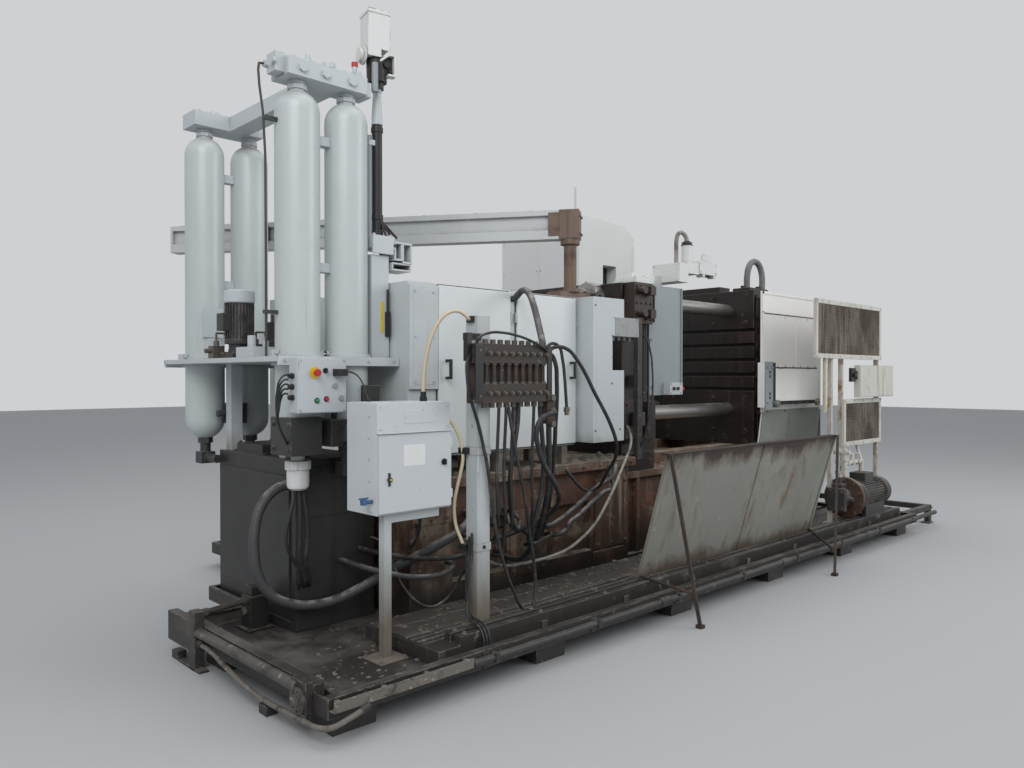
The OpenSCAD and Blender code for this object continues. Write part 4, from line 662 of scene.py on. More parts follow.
# Walkway deck along both sides: ribbed plates, oily and trodden pale, bolted down in bays, with two
# rails of square bar along the operator's side.
dress("deck_plates", "deck", 0.004, old_base)
deck_wear = finish("deck_wear", (0.07, 0.062, 0.056), 0.6, [
    (patches, (3, 0.45, 0.12), (0.155, 0.138, 0.12), 0.8),
    (patches, (9, 0.32, 0.08), (0.27, 0.245, 0.215), 0.9),
    (patches, (40, 0.3, 0.12), (0.2, 0.182, 0.16), 0.9),
    (edges, (0.004, 0.75), (0.36, 0.335, 0.305), 0.45)], grain=(60, 0.5))
form = bmesh.new()
for y in along(-1.455, -1.3, 4):
    block(form, -3.14, 3.15, y - 0.01, y + 0.01, 0.2015, 0.212)
bays = along(-3.13, 3.14, 9)
for x0, x1 in zip(bays, bays[1:]):
    for y0, y1 in ((-1.275, -1.115), (-1.1, -0.93)):
        block(form, x0 + 0.003, x1 - 0.003, y0, y1, 0.2015, 0.2065)
for x in bays:
    block(form, x - 0.02, x + 0.02, -1.612, -1.595, 0.126, 0.204)
for y in along(0.98, 1.54, 9):
    block(form, -2.73, 0.63, y - 0.012, y + 0.012, 0.2015, 0.212)
piece("deck_ribs", soften(form), deck_wear)
form = bmesh.new()
bolts(form, along(-2.95, 3.05, 11), (-1.575, -1.495), 0.2515, UP, 0.02)
for x in bays[1:-1]:
    for y in (-1.24, -0.96):
        bolts(form, (x - 0.05, x + 0.05), y, 0.206, UP, 0.016)
piece("deck_bolts", form, deck_wear)
form = bmesh.new()
lumps(form, -2.6, -1.1, -1.25, -0.93, 0.205, 0.026, 11, cover=0.55)
lumps(form, -0.9, 0.8, -1.1, -0.93, 0.205, 0.026, 12, cover=0.5)
source = random.Random(31)
for _ in range(260):
    x, y, size = source.uniform(-3, 2), source.uniform(-1.45, -0.93), source.uniform(0.004, 0.016)
    chip = bmesh.ops.create_icosphere(form, subdivisions=1, radius=size)["verts"]
    bmesh.ops.scale(form, vec=(source.uniform(0.7, 1.6), source.uniform(0.7, 1.6), 0.5), verts=chip)
    bmesh.ops.translate(form, vec=(x, y, 0.209), verts=chip)
piece("deck_residue", form, residue)

# Injection bed: a rusty casting with a ledge, streaked and crusted with dried release agent, black
# with oil low down. Plates are bolted to its sides, with a strip along its foot.
def side_blocks(form, *boxes):
    """Blocks, each on both sides of the machine's middle plane. Their y0 and y1 are for the far side."""
    for x0, x1, y0, y1, z0, z1 in boxes:
        blocks(form, (x0, x1, y0, y1, z0, z1), (x0, x1, -y1, -y0, z0, z1))


bed_iron = finish("bed_iron", (0.112, 0.056, 0.036), 0.65, [
    (patches, (2.2, 0.45, 0.15), (0.055, 0.036, 0.028), 0.55),
    (patches, (6, 0.4, 0.1), (0.175, 0.078, 0.042), 0.8),
    (patches, (3.1, 0.48, 0.1), (0.25, 0.205, 0.15), 0.9),
    (runs, (14, 0.55, 0.9), (0.33, 0.28, 0.21), 0.85),
    (patches, (14, 0.26, 0.08), (0.36, 0.31, 0.24), 0.9),
    (band, (0.55, 0.22, 0.9), (0.03, 0.024, 0.02), 0.4), (dust, (5, 0.8), (0.33, 0.28, 0.21), 0.95),
    (edges, (0.008, 0.6), (0.24, 0.18, 0.13), 0.7)], grain=(60, 0.8))
form = soften(node_form("machine_bed"), 0.008, 3)
side_bolts(form, along(-2.7, -0.6, 12), 0.8995, 0.965, 0.024)
piece("bed_casting", form, bed_iron, node="machine_bed")
form = bmesh.new()
plates = ((-2.74, -2.42, 0.7, 0.9), (-1.88, -1.52, 0.24, 0.7), (-0.96, -0.56, 0.3, 0.84))
for x0, x1, z0, z1 in plates:
    side_blocks(form, (x0, x1, 0.82, 0.832, z0, z1))
side_blocks(form, (-0.98, -0.6, 0.82, 0.832, 0.16, 0.28), (-2.74, -0.54, 0.82, 0.84, 0.124, 0.165))
soften(form, 0.003)
for x0, x1, z0, z1 in plates:
    side_bolts(form, along(x0 + 0.03, x1 - 0.03, 3), 0.8315, (z0 + 0.03, z1 - 0.03), 0.02)
piece("bed_plates", form, bed_iron)
form = bmesh.new()
lumps(form, -2.74, -0.54, -0.899, -0.825, 1, 0.036, 21, cell=0.012, cover=0.05, spread_by=0.55)
lumps(form, -1.3, -0.54, -0.9, -0.6, 1, 0.045, 22, cell=0.016, cover=0.15, spread_by=0.55)
source = random.Random(8)
for _ in range(320):
    x = source.uniform(-2.7, -0.58)
    clot = bmesh.ops.create_icosphere(form, subdivisions=1, radius=source.uniform(0.003, 0.01))["verts"]
    bmesh.ops.scale(form, vec=(source.uniform(0.8, 2.2), 0.5, source.uniform(0.6, 1.3)), verts=clot)
    bmesh.ops.translate(form, vec=(x, -0.899, 0.992 - source.uniform(0, 0.06) ** 1.2), verts=clot)
piece("bed_residue", form, residue)

# Clamp bed: a lower casting of the same iron with the moving platen's guide rails on it, ribbed
# along both sides behind the splash guard.
dress("clamp_casting", "clamp_bed", 0.006, bed_iron, steps=3)
form = bmesh.new()
for x in along(-0.3, 3, 8):
    side_blocks(form, (x - 0.02, x + 0.02, 0.7, 0.75, 0.125, 0.8))
side_blocks(form, (-0.52, 3.14, 0.7, 0.76, 0.8, 0.856), (-0.52, 3.14, 0.7, 0.76, 0.124, 0.17))
soften(form, 0.004)
bolts(form, along(0.08, 2.54, 14), (-0.55, 0.55), 0.8595, UP, 0.024)
piece("clamp_bed_ribs", form, bed_iron)

# Three platens: heavy castings, near black with oil and burnt release agent, the die faces cut by
# T-slots. Hex bolts, plates and cover strips are fixed to their sides.
def bolt_ring(form, middle, reach, count, way, size, shift=0):
    """Bolts evenly round a middle in the YZ plane. They point along X, the way that is given."""
    x, y, z = middle
    for k in range(count):
        turn = math.tau * (k + shift) / count
        bolt(form, (x, y + reach * math.cos(turn), z + reach * math.sin(turn)), (way, 0, 0), size)


SHOT_Z = 1.62
CLAMP_Z = 1.825
platen_iron = finish("platen_iron", (0.012, 0.008, 0.0065), 0.42, [
    (patches, (2.4, 0.42, 0.15), (0.032, 0.016, 0.012), 0.6),
    (runs, (18, 0.4, 0.7), (0.062, 0.028, 0.02), 0.7),
    (patches, (8, 0.14, 0.08), (0.14, 0.115, 0.095), 0.9),
    (edges, (0.007, 0.7), (0.2, 0.15, 0.12), 0.5)], grain=(70, 0.5))
for name, node, body in (
        ("fixed_platen_casting", "fixed_platen", "frame"),
        ("moving_platen_casting", "moving_platen", "moving_platen"),
        ("rear_platen_casting", "rear_platen", "frame")):
    piece(name, soften(node_form(node), 0.006), platen_iron, node, body)
form = bmesh.new()
side_blocks(form, (-0.5, -0.12, 0.75, 0.762, 0.9, 1.02), (-0.5, -0.12, 0.75, 0.762, 1.1, 1.45),
            (-0.24, -0.1, 0.75, 0.78, 1.12, 1.44))
block(form, -0.52, -0.1, -0.3, 0.52, 2.429, 2.445)
soften(form, 0.003)
side_bolts(form, (-0.47, -0.15), 0.7615, (0.93, 0.99, 1.13, 1.42), 0.026)
bolts(form, -0.0805, (-0.62, -0.28, 0.28, 0.62), (2.385, 1.22, 0.95), RIGHT, 0.04)
bolt_ring(form, (-0.0805, 0, SHOT_Z), 0.155, 12, 1, 0.026)
piece("fixed_platen_fittings", form, platen_iron)
form = bmesh.new()
side_blocks(form, (1.64, 1.96, 0.75, 0.765, 2.22, 2.48), (1.66, 1.94, 0.75, 0.768, 1, 1.3))
for z in along(1.42, 2.12, 4):
    side_blocks(form, (1.7, 1.9, 0.75, 0.78, z - 0.03, z + 0.03))
blocks(form, (1.62, 1.98, -0.7, -0.5, 2.529, 2.56), (1.7, 1.9, -0.3, 0.3, 2.529, 2.6))
soften(form, 0.004)
bolts(form, 1.6005, (-0.66, -0.28, 0.28, 0.66), (2.47, 2.2, 1.43, 1.1, 1), LEFT, 0.036)
side_bolts(form, (1.67, 1.93), 0.7645, (2.25, 2.45, 1.03, 1.27), 0.026)
for x, y in ((1.66, -0.6), (1.86, -0.655)):
    rod_z(form, x, y, 2.52, 2.585, 0.062, 6)
piece("moving_platen_fittings", form, platen_iron, body="moving_platen")
form = bmesh.new()
side_blocks(form, (2.74, 3.06, 0.75, 0.765, 0.95, 1.25))
soften(form, 0.004)
bolt_ring(form, (3.1605, 0, CLAMP_Z), 0.232, 16, 1, 0.024, 0.5)
bolts(form, 3.1005, (-0.66, -0.33, 0.33, 0.66), (2.46, 1), RIGHT, 0.036)
piece("rear_platen_fittings", form, platen_iron)

# Four ground steel tie bars through the platens, dull and oily, with a slotted nut at each end that
# small bolts ring, and grooves turned beside it.
bar_steel = finish("bar_steel", (0.42, 0.41, 0.395), 0.32, [
    (patches, (3.5, 0.4, 0.2), (0.15, 0.11, 0.085), 0.5),
    (dust, (5, 0.5), (0.25, 0.2, 0.16), 0.8)], metal=0.85, grain=(40, 0.05))
dress("tie_bar_rods", "tie_bars", 0.006, bar_steel)
form = bmesh.new()
for y in (-0.45, 0.45):
    for z in (1.32, 2.33):
        for x0, x1 in ((-0.635, -0.535), (3.105, 3.205)):
            for k in range(8):
                turn = math.tau * k / 8
                centre = Vector((0, y + 0.115 * math.cos(turn), z + 0.115 * math.sin(turn)))
                rod(form, centre + Vector((x0, 0, 0)), centre + Vector((x1, 0, 0)), 0.022, 6)
        for x in (-0.7, 3.27):
            rod_x(form, x - 0.012, x + 0.012, y, z, 0.118)
        for k in range(4):
            rod_x(form, -0.645 - k * 0.012, -0.651 - k * 0.012, y, z, 0.134)
            rod_x(form, 3.215 + k * 0.012, 3.221 + k * 0.012, y, z, 0.134)
piece("tie_bar_nut_lugs", form, bar_steel)

# Closing cylinder behind the rear platen, dark machine steel with a ring of bolts on its cover, and
# its ground rod, which is bolted to the moving platen.
dark_machine = finish("dark_machine", (0.04, 0.04, 0.04), 0.5, [
    (patches, (3, 0.45, 0.15), (0.075, 0.06, 0.048), 0.65), (dust, (5, 0.6), (0.19, 0.17, 0.15), 0.9),
    (edges, (0.005, 0.7), (0.22, 0.2, 0.18), 0.5)], grain=(80, 0.4))
form = soften(node_form("closing_cylinder"), 0.005)
bolt_ring(form, (3.8995, 0, CLAMP_Z), 0.2, 12, 1, 0.026, 0.5)
for x in (3.25, 3.75):
    rod_z(form, x, 0, 2.02, 2.12, 0.07, 6)
piece("cylinder_barrel", form, dark_machine, node="closing_cylinder")
form = soften(node_form("closing_rod"), 0.005)
bolt_ring(form, (2.0595, 0, CLAMP_Z), 0.155, 12, 1, 0.03)
piece("cylinder_rod", form, bar_steel, node="closing_rod", body="moving_platen")

# Shot cylinder in its frame behind the cabinet, and the sleeve that it fires into: dark steel with
# heavy bolts, cast iron beams and a pouring hole burnt pale round its edge.
form = soften(node_form("shot_unit"), 0.006)
bolt_ring(form, (-2.6895, 0, SHOT_Z), 0.145, 12, -1, 0.03, 0.5)
for x in (-2.62, -2, -1.8):
    rod_x(form, x, x + 0.045, 0, SHOT_Z, 0.4, 40)
side_bolts(form, (-1.68, -0.62), 0.3195, (1.5, 1.74), 0.04)
piece("shot_cylinder", form, dark_machine, node="shot_unit")
sleeve_iron = finish("sleeve_iron", (0.075, 0.065, 0.058), 0.45, [
    (patches, (6, 0.4, 0.15), (0.14, 0.075, 0.045), 0.7),
    (patches, (16, 0.3, 0.1), (0.42, 0.4, 0.37), 0.6)], metal=0.5, grain=(70, 0.5))
dress("sleeve", "shot_sleeve", 0.004, sleeve_iron)

# Cabinet beside the shot cylinder: folded sheet steel in light cool grey enamel, dusty, grimy
# towards its foot, with a narrow panel screwed on at the left and plain valve blocks inside.
# Colour for creases and recesses: painted shade with soot.
SOOT_AND_CREASE_SHADE = (0.16, 0.145, 0.13)
# Its crease layer darkens creases and recesses as painted shade with soot.
grey_paint = finish("grey_paint", (0.535, 0.572, 0.585), 0.42, [
    (patches, (1.6, 0.3, 0.25), (0.47, 0.48, 0.47), 0.55),
    (runs, (26, 0.24, 0.55), (0.3, 0.26, 0.21), 0.7), (dust, (6, 0.7), (0.33, 0.31, 0.28), 0.9),
    (band, (1.26, 1.08, 0.5), (0.2, 0.17, 0.14), 0.8), (corners, (0.05, 0.75), SOOT_AND_CREASE_SHADE, 0.8),
    (edges, (0.004, 0.55), (0.22, 0.19, 0.16), 0.6)], grain=(120, 0.1), vary=0.06)
dress("cabinet_case", "shot_cabinet", 0.004, grey_paint)
black_plastic = finish("black_plastic", (0.016, 0.016, 0.017), 0.4, [
    (dust, (9, 0.6), (0.16, 0.15, 0.14), 0.9)], grain=(200, 0.1))
chrome = finish("chrome", (0.6, 0.6, 0.59), 0.22, [
    (patches, (20, 0.3, 0.1), (0.2, 0.16, 0.13), 0.5)], metal=1, grain=(60, 0.05))
form = bmesh.new()
for x0, x1, z0, z1 in ((-2.584, -1.959, 1.16, 2.23), (-1.888, -1.286, 1.16, 2.23)):
    for a, b, c, d in ((x0 - 0.012, x0 - 0.005, z0, z1), (x1 + 0.005, x1 + 0.012, z0, z1),
                       (x0, x1, z1 + 0.003, z1 + 0.009), (x0, x1, z0 - 0.009, z0 - 0.003)):
        block(form, a, b, -0.8945, -0.8895, c, d)
piece("cabinet_seals", form, black_plastic)
form = bmesh.new()
for z in (1.38, 1.72, 2.06):
    for x in (-1.945, -1.902):
        rod_z(form, x, -0.9045, z - 0.035, z + 0.035, 0.014, 16)
        rod_z(form, x, -0.9045, z - 0.003, z + 0.003, 0.017, 16)
piece("cabinet_hinges", form, chrome)
form = soften(made_of((-2.79, -2.62, -0.9125, -0.9095, 1.6, 2.2)), 0.001)
bolts(form, (-2.775, -2.635), -0.912, (1.62, 1.9, 2.18), NEAR, 0.011)
piece("cabinet_narrow_panel", form, grey_paint)
form = bmesh.new()
for z in (1.3, 1.55, 1.8, 2.05):
    block(form, -2.8, -1.3, -0.46, -0.44, z - 0.03, z + 0.03)
valves = ((-2.45, 1.45), (-2.2, 1.9), (-1.75, 1.45), (-1.55, 1.9))
for x, z in valves:
    block(form, x - 0.09, x + 0.09, -0.62, -0.45, z - 0.1, z + 0.1)
soften(form, 0.004)
for x, z in valves:
    for dx in (-0.05, 0, 0.05):
        rod_y(form, x + dx, -0.62, -0.66, z, 0.032, 6)
piece("cabinet_valves_inside", form, dark_machine)

# Two cabinet doors hung on the post between them: flat folded sheet, scuffed and worn at its edges,
# with black bow handles and smears of yellow paint.
door_white = finish("door_white", (0.7, 0.735, 0.74), 0.4, [
    (patches, (1.4, 0.26, 0.25), (0.52, 0.53, 0.52), 0.5),
    (runs, (22, 0.22, 0.5), (0.34, 0.31, 0.27), 0.7), (edges, (0.004, 0.6), (0.2, 0.18, 0.16), 0.6),
    (patches, (24, 0.05, 0.04), (0.2, 0.17, 0.15), 0.7)], grain=(120, 0.08), vary=0.05)
yellow_mark = finish("yellow_mark", (0.68, 0.52, 0.06), 0.6, [
    (patches, (40, 0.35, 0.1), (0.6, 0.62, 0.6), 0.5)])
for body, x0, x1, knob, mark in (
        ("cabinet_door_left", -2.587, -1.956, -2.527, (-2.32, 1.36)),
        ("cabinet_door_right", -1.891, -1.283, -1.343, (-1.62, 1.42))):
    form = soften(made_of((x0, x1, -0.9103, -0.8903, 1.158, 2.232)), 0.004, 3)
    piece(body + "_sheet", form, door_white, body, body)
    form = made_of((x0 + 0.03, x1 - 0.03, -0.8905, -0.8785, 1.188, 1.208),
                   (x0 + 0.03, x1 - 0.03, -0.8905, -0.8785, 2.182, 2.202),
                   (x0 + 0.03, x0 + 0.05, -0.8905, -0.8785, 1.188, 2.202),
                   (x1 - 0.05, x1 - 0.03, -0.8905, -0.8785, 1.188, 2.202))
    piece(body + "_frame", soften(form), door_white, body=body)
    form = bmesh.new()
    for z in (1.643, 1.753):
        block(form, knob - 0.009, knob + 0.009, -0.955, -0.91, z - 0.009, z + 0.009)
    block(form, knob - 0.01, knob + 0.01, -0.9625, -0.948, 1.634, 1.762)
    piece(body + "_handle", soften(form, 0.003), black_plastic, body=body)
    form = bmesh.new()
    u, w = mark
    for dx, dz, across in ((0, 0, 0.07), (0.03, 0.035, 0.05), (0.015, 0.075, 0.06)):
        rod_y(form, u + dx, -0.909, -0.911, w + dz, across, 14)
    piece(body + "_paint_marks", form, yellow_mark, body=body)

# Closed cover beside the shot cylinder on the far side, in the same enamel, with two plain flush
# panels screwed on.
form = soften(node_form("shot_cover_far"), 0.005)
for x0, x1 in ((-2.78, -2.07), (-2.03, -1.31)):
    block(form, x0, x1, 0.888, 0.892, 1.18, 2.21)
    bolts(form, (x0 + 0.03, x1 - 0.03), 0.8915, along(1.22, 2.17, 4), FAR, 0.012)
piece("far_cover", form, grey_paint, node="shot_cover_far")

# End guard between the cabinet and the fixed platen: folded sheet with a notch for the hoses, a
# grey relay box in the notch and small holes.
dress("end_guard_sheet", "end_guard", 0.004, grey_paint)
form = bmesh.new()
for x, z in ((-1.02, 1.96), (-1.02, 1.8), (-1.03, 1.6), (-1.22, 2.18), (-1.22, 1.25), (-0.93, 1.25)):
    rod_y(form, x, -1.0485, -1.051, z, 0.016, 16)
piece("end_guard_holes", form, black_plastic)
relay_grey = finish("relay_grey", (0.33, 0.34, 0.34), 0.5, [
    (dust, (9, 0.7), (0.26, 0.24, 0.21), 0.9), (patches, (8, 0.35, 0.15), (0.2, 0.17, 0.14), 0.7)])
form = soften(made_of((-0.985, -0.7, -1.052, -0.93, 1.958, 2.104)), 0.004)
bolts(form, (-0.955, -0.73), -1.0515, (1.975, 2.087), NEAR, 0.01)
for x in along(-0.94, -0.74, 4):
    rod_z(form, x, -0.99, 1.958, 1.93, 0.026, 6)
piece("relay_box", form, relay_grey)

# Valve blocks and a cable duct on the near side of the fixed platen: near black blocks, rusty under
# oil and dust, with plugs, solenoids and short pipes between them.
rusty_block = finish("rusty_block", (0.034, 0.022, 0.017), 0.5, [
    (patches, (6, 0.42, 0.15), (0.085, 0.045, 0.03), 0.8), (dust, (8, 0.6), (0.19, 0.16, 0.13), 0.9),
    (edges, (0.005, 0.6), (0.2, 0.16, 0.13), 0.5)], grain=(80, 0.5))
form = soften(node_form("valve_block"), 0.004)
bolts(form, along(-0.47, -0.28, 4), -0.8605, (2.13, 2.26, 2.4), NEAR, 0.02)
for z in (2.17, 2.36):
    rod_y(form, -0.44, -0.86, -0.93, z, 0.06, 16)
    block(form, -0.37, -0.3, -0.93, -0.86, z - 0.035, z + 0.035)
piece("platen_valves", form, rusty_block, "valve_block")
form = made_of((-0.515, -0.455, -0.905, -0.86, 0.98, 2.13), (-0.5, -0.47, -0.861, -0.75, 1.1, 1.14),
               (-0.5, -0.47, -0.861, -0.75, 1.95, 1.99))
soften(form, 0.003)
bolts(form, -0.485, -0.9045, along(1.03, 2.08, 8), NEAR, 0.012)
for x, z0, z1, y in ((-0.3, 1.5, 2.1, -0.8), (-0.26, 1.55, 2.15, -0.79), (-0.22, 1.2, 1.95, -0.79)):
    rod_z(form, x, y, z0, z1, 0.02, 12)
    for z in (z0, z1):
        rod_z(form, x, y, z - 0.02, z + 0.02, 0.034, 6)
        rod_y(form, x, y + 0.004, -0.745, z, 0.02, 12)
for x, z, w in ((-0.4, 1.62, 0.09), (-0.36, 1.3, 0.11), (-0.42, 2.05, 0.08)):
    block(form, x - w / 2, x + w / 2, -0.82, -0.75, z - w / 2, z + w / 2)
piece("platen_duct", form, dark_machine)

# Guard sheet bolted to the near side of the fixed platen: pale blue grey, with its bolts down the
# left and scuffed by hoses.
sheet_blue = finish("sheet_blue", (0.3, 0.34, 0.36), 0.45, [
    (patches, (2.2, 0.35, 0.2), (0.22, 0.245, 0.255), 0.6),
    (runs, (24, 0.4, 0.7), (0.16, 0.12, 0.09), 0.7),
    (edges, (0.004, 0.8), (0.14, 0.11, 0.09), 0.6)], grain=(110, 0.1))
form = soften(node_form("guard_sheet"), 0.003)
bolts(form, -0.135, -0.7618, along(1.56, 2.38, 5), NEAR, 0.016)
block(form, 0.296, 0.31, -0.775, -0.75, 1.492, 2.438)
piece("guard_sheet_skin", form, sheet_blue, node="guard_sheet")

# Push button box at the foot of the guard sheet: grey cast case, red mushroom button on its end
# and two small black buttons on its face.
dress("button_case", "push_button_box", 0.005, grey_paint, steps=3)
red_knob = finish("red_knob", (0.5, 0.022, 0.016), 0.35, [
    (patches, (20, 0.3, 0.1), (0.22, 0.03, 0.025), 0.5)])
form = bmesh.new()
rod_x(form, 0.245, 0.262, -0.798, 1.545, 0.05)
rod_x(form, 0.262, 0.288, -0.798, 1.545, 0.044, 24, 0.03)
piece("button_red", soften(form, 0.003), red_knob)
form = bmesh.new()
for x in (0.09, 0.15):
    rod_y(form, x, -0.832, -0.846, 1.548, 0.03, 20)
bolts(form, (0.052, 0.2), -0.8325, (1.508, 1.588), NEAR, 0.008)
rod_z(form, 0.13, -0.79, 1.5, 1.47, 0.03, 12)
piece("button_small", form, black_plastic)

# Spray unit over the die space, in white enamel: a base plate and an arm on the fixed platen, a head
# with a bare sign plate on its end, a nozzle box on a link, a motor and a dirty bell on top.
# Its crease layer darkens creases and recesses as painted shade with soot.
white_paint = finish("white_paint", (0.7, 0.715, 0.7), 0.42, [
    (patches, (1.5, 0.26, 0.25), (0.57, 0.565, 0.54), 0.55),
    (runs, (22, 0.26, 0.55), (0.33, 0.28, 0.22), 0.7), (dust, (6, 0.7), (0.36, 0.33, 0.29), 0.9),
    (corners, (0.05, 0.7), SOOT_AND_CREASE_SHADE, 0.8),
    (edges, (0.004, 0.6), (0.2, 0.17, 0.14), 0.6)], grain=(120, 0.1), vary=0.05)
dress("spray_housing", "spray_unit", 0.004, white_paint)
form = soften(made_of((0.232, 0.2405, -0.786, -0.504, 2.5, 2.664)), 0.003)
bolts(form, 0.2322, (-0.772, -0.518), (2.513, 2.651), LEFT, 0.009)
piece("spray_sign", form, white_paint)
form = made_of((-0.31, -0.1, -0.73, -0.5, 2.469, 2.5), (0.62, 0.66, -0.785, -0.715, 2.572, 2.596),
               (0.8, 0.835, -0.785, -0.715, 2.572, 2.596))
soften(form, 0.003)
bolts(form, (-0.29, -0.12), (-0.71, -0.52), 2.4995, UP, 0.022)
bolts(form, (0.585, 0.83), -0.7895, (2.615, 2.695), NEAR, 0.012)
rod_y(form, 0.02, -0.6, -0.65, 2.515, 0.085)
rod_z(form, 0.74, -0.74, 2.786, 2.795, 0.055)
piece("spray_plates", form, white_paint)
form = bmesh.new()
rod_z(form, 0.45, -0.725, 2.842, 2.852, 0.106, 28)
rod_z(form, 0.45, -0.725, 2.862, 2.872, 0.096, 28)
rod_z(form, 0.45, -0.725, 2.84, 2.885, 0.06, 20)
for x in along(0.4, 0.6, 5):
    rod_z(form, x, -0.75, 2.635, 2.612, 0.02, 8)
for x in (0.66, 0.7, 0.74, 0.78):
    rod_z(form, x, -0.74, 2.597, 2.578, 0.022, 8)
piece("spray_fittings", form, dark_machine)
sight_pale = finish("sight_pale", (0.52, 0.51, 0.46), 0.3, [
    (patches, (16, 0.45, 0.15), (0.3, 0.24, 0.17), 0.5)])
form = bmesh.new()
rod_z(form, 0.74, -0.74, 2.712, 2.788, 0.0915, 32, 0.078)
piece("spray_bell", soften(form, 0.006, 3), sight_pale)

# Side covers along the clamp unit, near and far: white enamelled sheet with a seam half way up and
# a grey green skirt that slants in under it. The skirt is stained, the cover dusty.
# The covers' white is painted lighter than the same enamel on the rear housing, for the light that falls
# more on them: painted light. Its crease layer is painted shade with soot.
cover_white_painted_lit = finish("cover_white_painted_lit", (0.9, 0.885, 0.855), 0.4, [
    (patches, (1.3, 0.26, 0.25), (0.74, 0.72, 0.68), 0.5), (dust, (6, 0.7), (0.36, 0.33, 0.29), 0.9),
    (runs, (22, 0.26, 0.55), (0.36, 0.3, 0.24), 0.7), (corners, (0.05, 0.7), SOOT_AND_CREASE_SHADE, 0.8),
    (edges, (0.004, 0.6), (0.2, 0.17, 0.14), 0.6)], grain=(120, 0.1), vary=0.05)
dress("covers", "side_covers", 0.004, cover_white_painted_lit)
skirt_green = finish("skirt_green", (0.27, 0.285, 0.255), 0.5, [
    (patches, (2.2, 0.4, 0.2), (0.36, 0.36, 0.33), 0.6), (runs, (22, 0.45, 0.7), (0.14, 0.1, 0.075), 0.7),
    (edges, (0.004, 0.7), (0.14, 0.11, 0.09), 0.6)], grain=(110, 0.15))
form = bmesh.new()
for side, x0 in ((-1, 1.518), (1, 1.693)):
    front = [(x, side * y, z) for x, y, z in ((x0, 0.9055, 1.32), (2.762, 0.9055, 1.32),
                                              (2.762, 0.86, 0.958), (x0, 0.86, 0.958))]
    back = [(x, y - side * 0.006, z) for x, y, z in front]
    verts = [form.verts.new(v) for v in front + back]
    for loop in ((0, 1, 2, 3), (4, 5, 6, 7), (0, 1, 5, 4), (1, 2, 6, 5), (2, 3, 7, 6), (3, 0, 4, 7)):
        form.faces.new([verts[k] for k in loop])
soften(form)
bolts(form, along(1.6, 2.68, 4), -0.904, 1.302, NEAR, 0.014)
piece("cover_skirts", form, skirt_green)
form = bmesh.new()
for side, x0 in ((-1, 1.5), (1, 1.675)):
    for a, b, c, d in ((x0, 2.76, 2.285, 2.3), (x0, x0 + 0.03, 1.3, 2.5), (2.73, 2.76, 1.3, 2.5),
                       (x0, 2.76, 2.47, 2.5), (2.2, 2.215, 1.34, 2.285)):
        y0, y1 = sorted((side * 0.9, side * 0.906))
        block(form, a, b, y0, y1, c, d)
soften(form)
side_bolts(form, along(1.72, 2.7, 5), 0.9005, (2.26, 2.485, 1.36), 0.014)
piece("cover_seams", form, cover_white_painted_lit)
piece("cover_seam_gap", made_of((1.53, 2.73, -0.9065, -0.899, 2.279, 2.285)), black_plastic)

# Drive of the front guard door, bolted to the near cover: two pale rails with a white panel between
# them and a grey end plate with four round holes. A toothed belt runs along the lower rail.
# The drive is in the covers' lighter white, which is painted light.
dress("drive_case", "door_drive", 0.003, cover_white_painted_lit)
form = soften(made_of((1.405, 1.564, -0.993, -0.978, 1.343, 1.797)), 0.003)
bolts(form, (1.435, 1.535), -0.9925, (1.4, 1.74), NEAR, 0.02)
piece("drive_end_plate", form, sheet_blue)
# Black strips in the gap between the end plate and the white panel, and between the panel and each rail:
# painted shadow. The four round holes and the toothed belt are in the same black.
form = made_of((1.55, 1.585, -1.001, -0.978, 1.352, 1.788))
for z in (1.394, 1.734):
    block(form, 1.585, 2.478, -1.0012, -0.99, z, z + 0.014)
soften(form)
for z in (1.445, 1.485, 1.655, 1.695):
    rod_y(form, 1.485, -0.9925, -0.9945, z, 0.03, 20)
for x in along(1.62, 2.44, 42):
    block(form, x - 0.005, x + 0.005, -1.005, -0.998, 1.372, 1.398)
piece("drive_holes_and_painted_gaps", form, black_plastic)
form = bmesh.new()
for x in (1.59, 2.455):
    rod_y(form, x, -1.001, -1.03, 1.385, 0.075)
    bolt(form, (x, -1.0295, 1.385), NEAR, 0.02)
bolts(form, along(1.62, 2.42, 6), -1.0002, (1.385, 1.755), NEAR, 0.012)
piece("drive_pulleys", form, bar_steel)

# Framed screens in front of the clamp unit: white angle frames round wire mesh that is choked with
# brown release agent, and a closed white box between them with a black latch.
def border(form, x0, x1, y0, y1, z0, z1, wall):
    """A square ring in the XZ plane, y0 to y1 deep."""
    blocks(form, (x0, x1, y0, y1, z0, z0 + wall), (x0, x1, y0, y1, z1 - wall, z1),
           (x0, x0 + wall, y0, y1, z0 + wall, z1 - wall), (x1 - wall, x1, y0, y1, z0 + wall, z1 - wall))


screen_white = finish("screen_white", (0.62, 0.61, 0.56), 0.5, [
    (patches, (4, 0.38, 0.15), (0.4, 0.36, 0.29), 0.7), (runs, (22, 0.45, 0.7), (0.22, 0.15, 0.1), 0.7),
    (edges, (0.004, 0.7), (0.24, 0.17, 0.12), 0.7)], grain=(110, 0.15))
mesh_dirt = finish("mesh_dirt", (0.105, 0.082, 0.064), 0.8, [
    (patches, (3, 0.45, 0.2), (0.22, 0.19, 0.155), 0.9), (runs, (60, 0.8, 0.8), (0.3, 0.27, 0.22), 0.9),
    (patches, (14, 0.35, 0.12), (0.05, 0.038, 0.03), 0.8)], grain=(80, 0.8), vary=0.3)
form = bmesh.new()
border(form, 1.58, 3.12, -1.415, -1.385, 1.83, 2.4, 0.045)
border(form, 2.2, 3.12, -1.415, -1.385, 0.95, 1.425, 0.045)
blocks(form, (2.425, 3.29, -1.475, -1.415, 1.44, 1.77), (2.5, 3.1, -1.415, -1.386, 1.46, 1.75))
